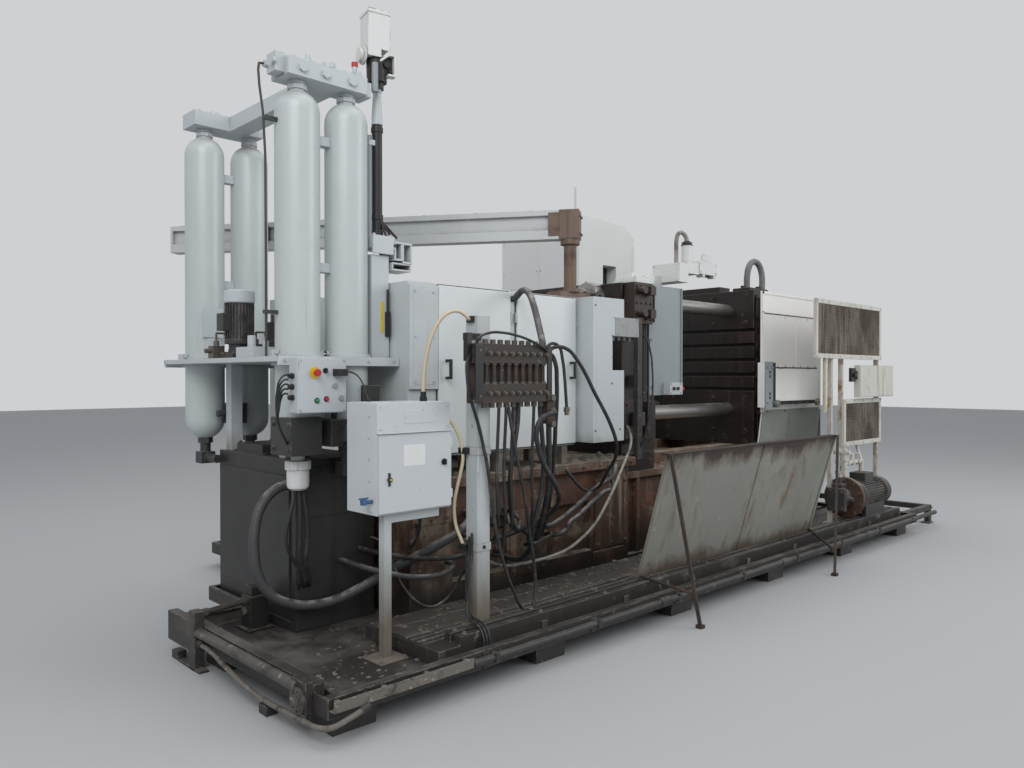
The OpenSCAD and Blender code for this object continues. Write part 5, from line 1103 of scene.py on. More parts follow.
piece("screen_frames", soften(form, 0.003), screen_white, node="screens")
form = bmesh.new()
for x0, x1, z0, z1 in ((1.622, 3.078, 1.872, 2.358), (2.242, 3.078, 0.992, 1.384)):
    block(form, x0, x1, -1.407, -1.393, z0, z1)
    for x in along(x0, x1, int((x1 - x0) / 0.024)):
        for y in (-1.4085, -1.3915):
            block(form, x - 0.0018, x + 0.0018, y - 0.0018, y + 0.0018, z0, z1)
    for z in along(z0, z1, int((z1 - z0) / 0.024)):
        for y in (-1.4105, -1.3895):
            block(form, x0, x1, y - 0.0018, y + 0.0018, z - 0.0018, z + 0.0018)
piece("screen_mesh", form, mesh_dirt)
form = bmesh.new()
bolts(form, along(1.6, 3.1, 7), -1.4148, (1.85, 2.38), NEAR, 0.014)
bolts(form, along(2.22, 3.1, 5), -1.4148, (0.97, 1.405), NEAR, 0.014)
block(form, 2.435, 3.28, -1.479, -1.474, 1.45, 1.76)
piece("screen_fixings", soften(form, 0.001), screen_white)
form = soften(made_of((2.3, 2.4, -1.445, -1.414, 1.6, 1.74), (2.4, 2.425, -1.455, -1.414, 1.63, 1.71)),
              0.005)
rod_y(form, 2.35, -1.444, -1.47, 1.67, 0.045, 20)
piece("screen_latch", form, black_plastic)

# Square posts behind the screens, and a short beige strip hung at their left: box section in white
# paint that rust comes through, on flanged feet.
post_paint = finish("post_paint", (0.52, 0.5, 0.44), 0.55, [
    (patches, (6, 0.5, 0.12), (0.26, 0.15, 0.085), 0.8), (runs, (26, 0.5, 0.8), (0.18, 0.09, 0.05), 0.75),
    (edges, (0.004, 0.8), (0.16, 0.08, 0.05), 0.7)], grain=(100, 0.3))
form = soften(node_form("guard_posts"), 0.003)
for x in (1.99, 3.1):
    block(form, x - 0.055, x + 0.055, -1.42, -1.31, 0.2025, 0.212)
    bolts(form, (x - 0.04, x + 0.04), -1.325, 0.2115, UP, 0.014)
bolts(form, (1.99, 2.225, 3.1), -1.3452, (1.86, 2.37), FAR, 0.016)
piece("screen_posts", form, post_paint, "guard_posts")
form = made_of((1.828, 1.862, -1.392, -1.384, 1.33, 1.86))
for z in along(1.36, 1.8, 6):
    rod_y(form, 1.845, -1.392, -1.398, z, 0.016, 12)
piece("screen_strip", soften(form), plastic_cream)

# Pump motor lying on the deck: a rust brown flange and bell towards the bed, a black finned body
# and fan cowl behind, a terminal box on top, and white painted pipes and valves over the flange.
def fins(form, count, box, axis, place):
    """Copies of one block, turned evenly round an axis and then moved to their place."""
    for k in range(count):
        fin = block(form, *box)
        turn = Matrix.Rotation(math.tau * k / count, 3, axis)
        bmesh.ops.rotate(form, cent=(0, 0, 0), matrix=turn, verts=fin)
        bmesh.ops.translate(form, vec=place, verts=fin)


flange_rust = finish("flange_rust", (0.07, 0.038, 0.025), 0.6, [
    (patches, (7, 0.5, 0.15), (0.12, 0.066, 0.04), 0.8), (dust, (7, 0.7), (0.22, 0.19, 0.15), 0.9),
    (edges, (0.005, 0.6), (0.26, 0.19, 0.14), 0.6)], grain=(80, 0.6))
MOTOR = (-1.45, 0.453)
form = bmesh.new()
rod_x(form, 2.11, 2.17, *MOTOR, 0.4, 48)
rod_x(form, 2.165, 2.31, *MOTOR, 0.24, 40, 0.285)
soften(form, 0.004)
bolt_ring(form, (2.1105, *MOTOR), 0.172, 10, -1, 0.026, 0.5)
piece("pump_flange", form, flange_rust, "pump_motor")
form = bmesh.new()
rod_x(form, 1.96, 2.112, *MOTOR, 0.2, 32)
blocks(form, (1.93, 1.985, -1.54, -1.36, 0.34, 0.56), (1.97, 2.08, -1.5, -1.4, 0.555, 0.6))
soften(form, 0.006)
bolts(form, 1.9305, (-1.51, -1.39), (0.37, 0.53), LEFT, 0.022)
rod_z(form, 2.02, -1.45, 0.598, 0.66, 0.062, 6)
rod_y(form, 2.02, -1.56, -1.53, 0.453, 0.07, 6)
rod_y(form, 2.02, -1.585, -1.55, 0.453, 0.046, 20)
piece("pump_gear_case", form, dark_machine)
form = bmesh.new()
rod_x(form, 2.305, 2.875, *MOTOR, 0.262, 40)
rod_x(form, 2.305, 2.345, *MOTOR, 0.3, 40)
rod_x(form, 2.83, 2.875, *MOTOR, 0.3, 40)
rod_x(form, 2.868, 2.955, *MOTOR, 0.284, 40)
soften(form, 0.004)
fins(form, 36, (2.345, 2.83, -0.0022, 0.0022, 0.126, 0.15), "X", (0, *MOTOR))
for k in range(6):
    rod_x(form, 2.9545, 2.9575, *MOTOR, 0.25 - k * 0.04, 32)
for y in (-1.55, -1.37):
    block(form, 2.35, 2.81, y - 0.022, y + 0.022, 0.2525, 0.36)
    bolts(form, (2.4, 2.76), y, 0.253, UP, 0.022)
block(form, 2.43, 2.63, -1.53, -1.37, 0.553, 0.673)
piece("pump_body", form, dark_machine)
form = bmesh.new()
for y, z0, z1 in ((-1.38, 0.55, 0.94), (-1.45, 0.64, 0.94)):
    rod_z(form, 2.14, y, z0, z1, 0.042, 16)
    for z in along(z0 + 0.04, z1 - 0.04, 4):
        rod_z(form, 2.14, y, z - 0.014, z + 0.014, 0.064, 6)
rod_y(form, 2.14, -1.5, -1.34, 0.9, 0.046, 16)
rod_x(form, 2.14, 2.62, -1.41, 0.78, 0.042, 16)
rod_z(form, 2.62, -1.41, 0.66, 0.79, 0.046, 16)
for x in (2.28, 2.4, 2.52):
    rod_x(form, x - 0.02, x + 0.02, -1.41, 0.78, 0.066, 6)
    rod_z(form, x, -1.41, 0.78, 0.865, 0.03, 12)
    rod_x(form, x - 0.05, x + 0.05, -1.41, 0.865, 0.014, 10)
rod(form, (2.62, -1.41, 0.78), (2.62, -1.35, 0.98), 0.03, 12)
piece("pump_pipes", form, screen_white)

# Tall closed housing on the far side: white enamelled sheet in bolted panels, with black sheets inside its
# notch as painted shade, and dust on its top.
dress("housing_shell", "rear_housing", 0.006, white_paint, steps=3)
form = bmesh.new()
for z in (0.9, 1.7, 2.5):
    blocks(form, (0.674, 0.682, 0.8, 1.965, z - 0.012, z + 0.012),
           (0.69, 1.645, 0.784, 0.792, z - 0.012, z + 0.012),
           (0.69, 1.645, 1.971, 1.979, z - 0.012, z + 0.012))
block(form, 0.674, 0.682, 1.37, 1.39, 0.14, 3.38)
for x in (0.7, 1.63):
    block(form, x - 0.02, x + 0.02, 0.782, 0.791, 0.14, 3.14 if x > 1 else 3.37)
soften(form)
bolts(form, 0.6805, (0.83, 1.35, 1.41, 1.94), along(0.3, 3.2, 9), LEFT, 0.016)
piece("housing_seams", form, white_paint)
# Black sheets on the back wall and floor of the notch: painted shade inside it.
piece("housing_notch_painted_shade", made_of((1.1, 1.32, 0.925, 0.938, 2.655, 2.875),
                                (1.095, 1.325, 0.9, 0.925, 2.65, 2.668)), black_plastic)

# Oil tank under the bottles: a closed welded box, near black under oily dust, with a bolted hatch,
# a plate on its end face and steel pipes and valves that rise from it to the platform.
tank_grey = finish("tank_grey", (0.03, 0.029, 0.028), 0.42, [
    (patches, (2.2, 0.45, 0.2), (0.018, 0.017, 0.016), 0.4),
    (patches, (7, 0.24, 0.1), (0.062, 0.055, 0.048), 0.7),
    (runs, (18, 0.5, 0.8), (0.012, 0.011, 0.01), 0.35), (dust, (5, 0.7), (0.11, 0.1, 0.088), 0.9),
    (edges, (0.006, 0.5), (0.11, 0.095, 0.08), 0.6)], grain=(80, 0.3))
BOTTLES = [(x, y) for x in (-3.43, -3.1) for y in (-0.645, 0.64)]
dress("tank_shell", "oil_tank", 0.006, tank_grey)
form = made_of((-3.412, -3.398, -0.5, 0.42, 0.3, 1.05), (-3.408, -3.398, -0.545, 0.465, 0.126, 0.18),
               (-3.38, -2.86, -0.568, -0.558, 0.8, 1.1), (-3.36, -3.1, -0.1, 0.34, 1.148, 1.16))
soften(form, 0.003)
bolts(form, along(-3.35, -2.89, 5), -0.5675, (0.83, 1.07), NEAR, 0.018)
bolts(form, (-3.34, -3.12), (-0.04, 0.12, 0.28), 1.2095, UP, 0.018)
piece("tank_fittings", form, tank_grey)
form = bmesh.new()
for x, y, z0, z1, w in (
        (-3.1, -0.645, 1.08, 1.24, 0.07), (-3.43, 0.64, 1.08, 1.24, 0.07), (-3.1, 0.64, 1.08, 1.24, 0.07),
        (-3.25, -0.4, 1.14, 1.75, 0.045), (-3.2, -0.3, 1.14, 1.75, 0.045),
        (-3.12, -0.2, 1.14, 1.75, 0.038), (-3.3, 0.45, 1.14, 1.75, 0.045), (-3.05, 0.2, 1.14, 1.75, 0.045)):
    rod_z(form, x, y, z0, z1, w, 20)
    rod_z(form, x, y, z0, z0 + 0.04, w * 1.45, 6)
    rod_z(form, x, y, z1 - 0.05, z1 - 0.01, w * 1.45, 6)
for x, y in BOTTLES[1:]:
    inner = -0.52 if y < 0 else 0.44
    rod_y(form, x, y, inner, 1.09, 0.058, 20)
    block(form, x - 0.05, x + 0.05, y - 0.05, y + 0.05, 1.05, 1.13)
for x, y, z in ((-3.25, -0.4, 1.45), (-3.12, -0.2, 1.52), (-3.3, 0.45, 1.4)):
    block(form, x - 0.06, x + 0.06, y - 0.06, y + 0.06, z - 0.07, z + 0.07)
    rod_x(form, x - 0.06, x - 0.13, y, z, 0.045, 16)
piece("tank_pipes", soften(form, angle=50), dark_machine)
form = made_of((-3.56, -3.36, -0.8, -0.56, 1.2, 1.42), (-3.3, -2.98, -0.8, -0.56, 1.24, 1.4),
               (-3.24, -3.06, -0.86, -0.8, 1.27, 1.37))
rod_y(form, -3.15, -0.86, -0.93, 1.32, 0.055, 20)
rod_z(form, -3.22, -0.7, 1.4, 1.7, 0.035, 16)
rod_z(form, -3.02, -0.72, 1.4, 1.7, 0.035, 16)
block(form, -3.08, -2.96, -0.8, -0.68, 1.46, 1.6)
soften(form, 0.006)
bolts(form, -3.5605, (-0.78, -0.6), (1.24, 1.38), LEFT, 0.022)
piece("bottle_valves", form, dark_machine)

# Platform that clamps the bottles, on its columns, with a square column beside the near pair: plate
# and box section in grey enamel, collars split and bolted.
dress("stand_frame", "accumulator_stand", 0.004, grey_paint)
form = bmesh.new()
for x, y in BOTTLES:
    for split in (x - 0.155, x + 0.155):
        block(form, split - 0.022, split + 0.022, y - 0.03, y + 0.03, 1.765, 1.805)
        rod_y(form, split, y - 0.045, y + 0.045, 1.787, 0.014, 6)
for y in (-0.8, 0.82):
    block(form, -3.64, -2.82, y - 0.006, y + 0.006, 1.715, 1.768)
soften(form)
bolts(form, along(-3.6, -2.86, 5), -0.8055, 1.742, NEAR, 0.014)
piece("stand_clamps", form, grey_paint)
piece("column_label", made_of((-2.894, -2.868, -0.7115, -0.7095, 1.93, 2.12)), yellow_mark)
form = made_of((-2.862, -2.832, -0.735, -0.708, 1.9, 2.06))
rod_z(form, -2.847, -0.722, 2.06, 2.2, 0.016, 12)
piece("column_gland", soften(form, 0.006), black_plastic)

# Four gas bottles: spun steel with round ends, in light cool grey enamel, dusty, with a little oil
# about the necks. Each is turned in one profile.
bottle_paint = finish("bottle_paint", (0.53, 0.575, 0.575), 0.3, [
    (patches, (1.3, 0.28, 0.25), (0.45, 0.475, 0.465), 0.42),
    (runs, (20, 0.2, 0.5), (0.28, 0.255, 0.22), 0.6), (dust, (6, 0.6), (0.36, 0.34, 0.31), 0.9),
    (patches, (26, 0.05, 0.04), (0.22, 0.19, 0.16), 0.7)], grain=(120, 0.08), vary=0.05)


def spin(form, profile, at, steps=48):
    """Turns a profile of (radius, height) pairs round the vertical through at."""
    verts = [form.verts.new((at[0] + r, at[1], z)) for r, z in profile]
    lines = [form.edges.new(pair) for pair in zip(verts, verts[1:])]
    bmesh.ops.spin(form, geom=verts + lines, cent=(*at, 0), axis=(0, 0, 1), angle=math.tau, steps=steps,
                   use_merge=True)


form = bmesh.new()
half = 0.13
lower = [(half * math.sin(t), 1.35 - half * math.cos(t)) for t in along(0.12, math.pi / 2, 12)]
upper = [(half * math.cos(t), 3.185 + half * math.sin(t)) for t in along(0, math.pi / 2 - 0.36, 12)]
neck = [(0.046, 3.309), (0.045, 3.365), (0.0005, 3.366)]
for bottle in BOTTLES:
    spin(form, [(0.0005, 1.22)] + lower + upper + neck, bottle)
bmesh.ops.remove_doubles(form, verts=form.verts, dist=0.0008)
piece("bottles", form, bottle_paint, "accumulators")
form = bmesh.new()
for x, y in BOTTLES:
    rod_z(form, x, y, 3.318, 3.345, 0.118, 8)
    rod_z(form, x, y, 3.348, 3.369, 0.1)
block(form, -3.505, -3.36, 0.505, 0.512, 1.92, 2.12)
for y in (-0.645, 0.64):
    for z in (3.05, 2.3):
        block(form, -3.302, -3.228, y - 0.03, y + 0.03, z - 0.028, z + 0.028)
piece("bottle_collars", soften(form), grey_paint)

# Manifold blocks across the tops of the bottles: grey enamelled bars with bolted caps, ports with
# hex plugs, a small valve with a red knob and the dark pipe down beside the first bottle.
form = soften(node_form("manifold"), 0.006)
for x, y in BOTTLES:
    bolts(form, (x - 0.06, x + 0.06), (y - 0.07, y + 0.07), 3.4695, UP, 0.026)
piece("manifold_bars", form, grey_paint, node="manifold")
form = bmesh.new()
for x, z in ((-3.45, 3.42), (-3.3, 3.42), (-3.12, 3.42)):
    rod_y(form, x, -0.744, -0.762, z, 0.055, 6)
for y in (-0.7, -0.61):
    rod_x(form, -3.599, -3.622, y, 3.435, 0.046, 6)
rod_z(form, -3.36, -0.645, 3.469, 3.515, 0.06, 6)
rod_z(form, -3.36, -0.645, 3.515, 3.545, 0.03, 16)
rod_z(form, -3.22, -0.645, 3.499, 3.53, 0.08)
block(form, -3.06, -3.02, -0.7, -0.6, 3.468, 3.52)
rod_z(form, -3.04, -0.65, 3.52, 3.56, 0.03, 16)
rod_z(form, -3.36, 0.64, 3.469, 3.51, 0.06, 6)
rod_z(form, -3.2, 0.64, 3.469, 3.51, 0.06, 6)
block(form, -3.012, -2.968, -0.725, -0.585, 3.365, 3.455)
piece("manifold_plugs", soften(form, angle=50), grey_paint)
form = bmesh.new()
rod_z(form, -3.04, -0.65, 3.558, 3.585, 0.04, 20)
piece("manifold_knob", soften(form, 0.003), red_knob)
pipe_places = [(-3.622, -0.61, 3.435), (-3.65, -0.612, 3.43), (-3.658, -0.618, 3.39), (-3.655, -0.625, 3.3),
               (-3.64, -0.638, 3.15), (-3.63, -0.645, 2.9), (-3.628, -0.645, 2.4), (-3.628, -0.645, 1.9),
               (-3.628, -0.645, 1.766)]
form = bmesh.new()
for a, b in zip(pipe_places, pipe_places[1:]):
    rod(form, a, b, 0.014, 14)
    bmesh.ops.create_icosphere(form, subdivisions=2, radius=0.0072, matrix=Matrix.Translation(b))
for z in (3.12, 2.02):
    block(form, -3.642, -3.556, -0.658, -0.632, z - 0.011, z + 0.011)
piece("manifold_pipe", form, dark_machine)

# Mast beside the near bottles: a white cast foot with two square openings, a dark tube and a
# thinner blue grey one, a pale tapered coupling and, turned a little on its own, the white box with
# a disc at its left, a dark gear case under it and a bent bracket.
def plate(form, outline, y0, y1):
    """A flat shape given by its (x, z) corners, y0 to y1 thick."""
    near = [form.verts.new((x, y0, z)) for x, z in outline]
    far = [form.verts.new((x, y1, z)) for x, z in outline]
    form.faces.new(near)
    form.faces.new(far)
    for k in range(len(outline)):
        n = (k + 1) % len(outline)
        form.faces.new((near[k], near[n], far[n], far[k]))


MAST = (-2.873, -0.645)
form = made_of((-2.965, -2.8, -0.735, -0.555, 2.4505, 2.53), (-2.965, -2.81, -0.7365, -0.72, 2.416, 2.53))
border(form, -2.8, -2.735, -0.73, -0.56, 2.385, 2.505, 0.014)
border(form, -2.735, -2.657, -0.725, -0.565, 2.372, 2.505, 0.014)
block(form, -2.8, -2.657, -0.6, -0.56, 2.37, 2.49)
border(form, -2.812, -2.662, -0.72, -0.57, 2.322, 2.374, 0.012)
block(form, -2.8, -2.674, -0.585, -0.571, 2.33, 2.37)
for x, z in ((-2.945, 2.53), (-2.82, 2.53)):
    rod_z(form, x, -0.715, z, z + 0.012, 0.022, 6)
block(form, -2.945, -2.862, -0.664, -0.626, 3.1, 3.135)
soften(form, 0.003)
rod_z(form, *MAST, 3.236, 3.44, 0.072, 28, 0.05)
rod_z(form, *MAST, 3.438, 3.466, 0.06, 8)
piece("mast_casting", form, grey_paint, node="mast")
form = bmesh.new()
for x in (-2.84, -2.8, -2.76):
    rod(form, (x, -0.7, 2.53), (-2.866, -0.67, 2.64), 0.016, 12)
rod_y(form, -2.801, -0.737, -0.7365, 2.475, 0.022, 20)
rod_z(form, *MAST, 2.528, 3.24, 0.065, 28)
for z in (2.54, 2.64, 3.19):
    rod_z(form, *MAST, z, z + 0.03, 0.076, 28)
rod(form, (-2.873, -0.645, 3.5), (-2.88, -0.645, 3.652), 0.125, 28)
rod_z(form, *MAST, 3.46, 3.51, 0.085, 28)
piece("mast_dark_tube", soften(form), black_iron)
form = bmesh.new()
rod_z(form, -2.933, -0.645, 2.488, 3.155, 0.034, 20)
for z in (2.5, 3.13):
    rod_z(form, -2.933, -0.645, z, z + 0.03, 0.046, 6)
rod_z(form, -2.925, -0.7, 3.42, 3.6, 0.04, 20)
piece("mast_blue_tube", form, sheet_blue)
mast_turn = Matrix.Translation((-2.888, -0.645, 3.645)) @ Matrix.Rotation(math.radians(-12), 4, "Z")
form = bmesh.new()
plate(form, ((-0.07, 0), (0.012, 0), (0.012, 0.048), (0.07, 0.048), (0.07, 0.285),
             (-0.07, 0.285)), -0.07, 0.07)
block(form, -0.074, 0.074, -0.074, 0.074, 0.262, 0.2845)
rod_x(form, -0.07, -0.088, 0, 0.01, 0.112, 32)
rod_x(form, -0.088, -0.112, 0, 0.01, 0.092, 32)
soften(form, 0.004)
plate(form, ((0.005, -0.02), (0.064, 0.028), (0.113, 0.028), (0.113, -0.11), (0.062, -0.11),
             (0.062, -0.098), (0.1, -0.098), (0.1, 0.016), (0.07, 0.016), (0.011, -0.032)), -0.072, -0.02)
bmesh.ops.transform(form, matrix=mast_turn, verts=form.verts)
piece("mast_box", form, white_paint)
form = made_of((0.02, 0.098, -0.045, 0.028, -0.095, 0.012))
rod_y(form, 0.055, -0.045, -0.066, -0.04, 0.04, 20)
rod_y(form, 0.08, -0.045, -0.06, -0.075, 0.022, 12)
bmesh.ops.transform(form, matrix=mast_turn, verts=form.verts)
piece("mast_switch", soften(form, angle=50), black_iron)

# Small upright motor on the platform: dark finned body, a light cap over its fan, a terminal box
# and its foot plate.
SMALL_MOTOR = (-3.5, -0.04)
form = made_of((-3.59, -3.41, -0.13, 0.05, 1.7665, 1.797))
rod_z(form, *SMALL_MOTOR, 1.795, 1.86, 0.13, 32)
rod_z(form, *SMALL_MOTOR, 1.856, 2.12, 0.156, 36)
rod_z(form, *SMALL_MOTOR, 1.856, 1.885, 0.18, 36)
block(form, -3.63, -3.56, -0.085, 0.005, 1.937, 2.046)
soften(form, 0.004)
fins(form, 28, (0.076, 0.09, -0.0018, 0.0018, 1.885, 2.115), "Z", (*SMALL_MOTOR, 0))
bolts(form, (-3.575, -3.425), (-0.115, 0.035), 1.7965, UP, 0.016)
piece("small_motor", form, dark_machine, node="pilot_motor")
form = bmesh.new()
rod_z(form, *SMALL_MOTOR, 2.112, 2.195, 0.19, 40)
soften(form, 0.01, 3)
for k in range(5):
    rod_z(form, *SMALL_MOTOR, 2.194, 2.1965, 0.15 - k * 0.028, 28)
piece("small_motor_cap", form, grey_paint)

# Pilot valves beside the small motor: dark steel blocks with solenoids, a light block and fittings
# of dull steel that thin pipes join.
form = soften(node_form("pilot_valves"), 0.004)
rod_y(form, -3.33, -0.31, -0.37, 1.92, 0.055, 20)
rod_y(form, -3.33, -0.15, -0.09, 1.92, 0.055, 20)
rod_y(form, -3.245, -0.3, -0.35, 1.91, 0.04, 20)
rod_z(form, -3.36, -0.23, 1.995, 2.04, 0.04, 6)
piece("pilot_valve_blocks", form, dark_machine, node="pilot_valves")
form = made_of((-3.6, -3.4, -0.42, -0.2, 1.767, 1.83))
rod_z(form, -3.55, -0.31, 1.83, 1.9, 0.05, 20)
rod_z(form, -3.46, -0.31, 1.83, 1.87, 0.04, 6)
piece("pilot_white_block", soften(form, 0.004, angle=50), grey_paint)
fitting_steel = finish("fitting_steel", (0.15, 0.135, 0.115), 0.45, [
    (patches, (14, 0.4, 0.15), (0.06, 0.048, 0.038), 0.6),
    (dust, (12, 0.6), (0.22, 0.19, 0.155), 0.9)], metal=0.45, grain=(80, 0.3))
form = bmesh.new()
for x, y, z, w in (
        (-3.58, 0.12, 1.81, 0.075), (-3.45, 0.14, 1.8, 0.06), (-3.36, 0.02, 1.82, 0.085),
        (-3.22, -0.02, 1.8, 0.06)):
    block(form, x - w / 2, x + w / 2, y - w / 2, y + w / 2, 1.7665, z + w / 2)
soften(form, 0.003)
for x, y, z in ((-3.58, 0.12, 1.845), (-3.45, 0.14, 1.828), (-3.36, 0.02, 1.86), (-3.22, -0.02, 1.828)):
    rod_z(form, x, y, z, z + 0.035, 0.036, 6)
    rod_x(form, x - 0.03, x - 0.075, y, z - 0.03, 0.03, 6)
for a, b in (
        ((-3.58, 0.12, 1.87), (-3.58, 0.12, 1.93)), ((-3.58, 0.12, 1.93), (-3.45, 0.14, 1.93)),
        ((-3.45, 0.14, 1.93), (-3.45, 0.14, 1.85)), ((-3.36, 0.02, 1.88), (-3.36, 0.02, 1.94)),
        ((-3.36, 0.02, 1.94), (-3.22, -0.02, 1.94)), ((-3.22, -0.02, 1.94), (-3.22, -0.02, 1.85))):
    rod(form, a, b, 0.014, 12)
piece("platform_valves", form, fitting_steel)

# Filter bowl under the first near bottle: white enamelled cup, turned in one profile with a ribbed
# ring nut over it.
form = bmesh.new()
spin(form, [(0.0005, 0.99), (0.045, 0.99), (0.06, 1.002), (0.065, 1.02), (0.065, 1.108), (0.0745, 1.11),
            (0.0745, 1.16), (0.04, 1.162), (0.0395, 1.219), (0.0005, 1.2195)], BOTTLES[0], 40)
bmesh.ops.remove_doubles(form, verts=form.verts, dist=0.0008)
fins(form, 18, (0.073, 0.0755, -0.004, 0.004, 1.115, 1.155), "Z", (*BOTTLES[0], 0))
piece("filter_cup", form, white_paint, node="filter_bowl")

# Operator panel on the edge of the platform: grey case with a yellow and red stop button, a
# selector, green and red push buttons, a black plug, and black glands at its left.
form = soften(made_of((-3.572, -3.259, -0.898, -0.8, 1.445, 1.76)), 0.008, 3)
block(form, -3.566, -3.265, -0.9005, -0.897, 1.451, 1.754)
bolts(form, (-3.555, -3.276), -0.9002, (1.462, 1.743), NEAR, 0.01)
piece("panel_case", form, grey_paint, node="operator_panel")
form = bmesh.new()
rod_y(form, -3.467, -0.9, -0.905, 1.673, 0.066, 32)
yellow_ring = finish("yellow_ring", (0.72, 0.5, 0.03), 0.45)
piece("panel_stop_ring", soften(form, 0.001), yellow_ring)
form = bmesh.new()
rod_y(form, -3.467, -0.904, -0.925, 1.673, 0.024, 20)
rod_y(form, -3.467, -0.925, -0.94, 1.673, 0.042, 28)
soften(form, 0.004)
rod_y(form, -3.394, -0.903, -0.912, 1.525, 0.022, 20)
piece("panel_red_buttons", form, red_knob)
green_knob = finish("green_knob", (0.02, 0.24, 0.1), 0.4)
form = bmesh.new()
rod_y(form, -3.454, -0.903, -0.912, 1.517, 0.022, 20)
piece("panel_green_button", soften(form), green_knob)
form = bmesh.new()
for x, z in ((-3.454, 1.517), (-3.394, 1.525), (-3.4, 1.685)):
    rod_y(form, x, -0.899, -0.906, z, 0.032)
blocks(form, (-3.406, -3.394, -0.922, -0.905, 1.672, 1.698), (-3.352, -3.282, -0.948, -0.897, 1.655, 1.695))
for z in (1.535, 1.595, 1.655):
    rod_x(form, -3.571, -3.588, -0.85, z, 0.034, 8)
    rod_x(form, -3.588, -3.602, -0.85, z, 0.028, 16)
piece("panel_black_parts", soften(form, angle=50), black_plastic)
form = bmesh.new()
rod_y(form, -3.34, -0.9, -0.912, 1.6, 0.03, 20)
rod_y(form, -3.3, -0.9, -0.912, 1.53, 0.03, 20)
piece("panel_blue_caps", soften(form), sheet_blue)

# Control box: folded sheet in pale grey, with a rain lip over its door, a blank plate, a gland on
# top, a cable strip and a small blue tap at its left side and a mounting plate with terminals inside.
# Its crease layer darkens creases and recesses as painted shade with soot.
box_white = finish("box_white", (0.585, 0.612, 0.628), 0.38, [
    (patches, (1.6, 0.22, 0.25), (0.57, 0.58, 0.57), 0.5), (dust, (6, 0.5), (0.45, 0.43, 0.4), 0.9),
    (patches, (28, 0.07, 0.04), (0.22, 0.19, 0.17), 0.7), (corners, (0.03, 0.6), SOOT_AND_CREASE_SHADE, 0.8),
    (edges, (0.003, 0.4), (0.26, 0.23, 0.2), 0.6)], grain=(140, 0.06), vary=0.04)
dress("control_case", "control_box", 0.003, box_white)
form = made_of((-3.36, -2.854, -1.372, -1.34, 1.345, 1.351),
               (-3.175, -2.955, -1.3465, -1.343, 1.395, 1.47), (-3.364, -3.357, -1.3, -1.26, 0.93, 1.49))
soften(form, 0.0015)
bolts(form, (-3.168, -2.962), -1.3462, 1.4325, NEAR, 0.006)
bolts(form, (-3.335, -2.88), -1.3438, (1.37, 1.49), NEAR, 0.009)
bolts(form, -3.3635, -1.28, along(0.98, 1.44, 5), LEFT, 0.012)
piece("control_trim", form, box_white)
form = bmesh.new()
rod_z(form, -2.96, -1.23, 1.51, 1.535, 0.044, 8)
rod_z(form, -2.96, -1.23, 1.535, 1.565, 0.034, 16)
rod_z(form, -3.235, -1.09, 1.51, 1.528, 0.022, 8)
for x in (-3.25, -3.15, -3.05, -2.95):
    rod_z(form, x, -1.18, 0.91, 0.885, 0.032, 8)
block(form, -3.349, -3.345, -1.3385, -1.3355, 0.92, 1.34)
piece("control_glands", soften(form, 0.001, angle=50), black_plastic)
form = bmesh.new()
rod_x(form, -3.357, -3.41, -1.3, 0.985, 0.022, 16)
blocks(form, (-3.425, -3.4, -1.315, -1.285, 0.97, 1), (-3.44, -3.385, -1.306, -1.294, 1, 1.01))
blue_tap = finish("blue_tap", (0.05, 0.13, 0.3), 0.4, [(dust, (12, 0.5), (0.2, 0.19, 0.17), 0.9)])
piece("control_tap", soften(form), blue_tap)
piece("control_plate", soften(made_of((-3.33, -2.88, -1.072, -1.066, 0.94, 1.48))), chrome)
form = bmesh.new()
for z in (1.02, 1.16):
    for x in along(-3.28, -2.93, 12):
        block(form, x - 0.011, x + 0.011, -1.12, -1.072, z - 0.035, z + 0.035)
for x in (-3.22, -3.05):
    block(form, x - 0.06, x + 0.06, -1.15, -1.072, 1.26, 1.36)
piece("control_gear", soften(form), relay_grey)

# Door of the control box: one folded sheet, hinged at its right, with a black lock, a black knob
# and a bare paper label.
form = soften(made_of((-3.353, -2.861, -1.3623, -1.3443, 0.919, 1.343)), 0.004, 3)
blocks(form, (-3.33, -2.885, -1.3445, -1.336, 0.94, 0.955), (-3.33, -2.885, -1.3445, -1.336, 1.307, 1.322))
piece("control_door_sheet", form, box_white, "control_box_door", "control_box_door")
form = bmesh.new()
rod_y(form, -3.291, -1.362, -1.3762, 1.101, 0.026, 28)
block(form, -3.299, -3.283, -1.3655, -1.362, 1.065, 1.137)
rod_y(form, -2.917, -1.362, -1.37, 1.171, 0.036, 28)
block(form, -2.922, -2.912, -1.386, -1.369, 1.155, 1.187)
piece("control_door_lock", soften(form), black_plastic, body="control_box_door")
form = bmesh.new()
rod_y(form, -3.291, -1.3761, -1.3775, 1.1015, 0.012, 16)
piece("control_door_lock_mark", form, yellow_ring, body="control_box_door")
form = bmesh.new()
for z in (0.99, 1.28):
    rod_z(form, -2.857, -1.358, z - 0.025, z + 0.025, 0.012, 14)
piece("control_door_hinges", soften(form), box_white, body="control_box_door")
paper = finish("paper", (0.8, 0.81, 0.79), 0.75, [
    (patches, (14, 0.2, 0.2), (0.68, 0.67, 0.63), 0.8)], grain=(200, 0.1))
piece("control_door_label", made_of((-3.195, -3.05, -1.3629, -1.3621, 1.165, 1.28)), paper,
      body="control_box_door")

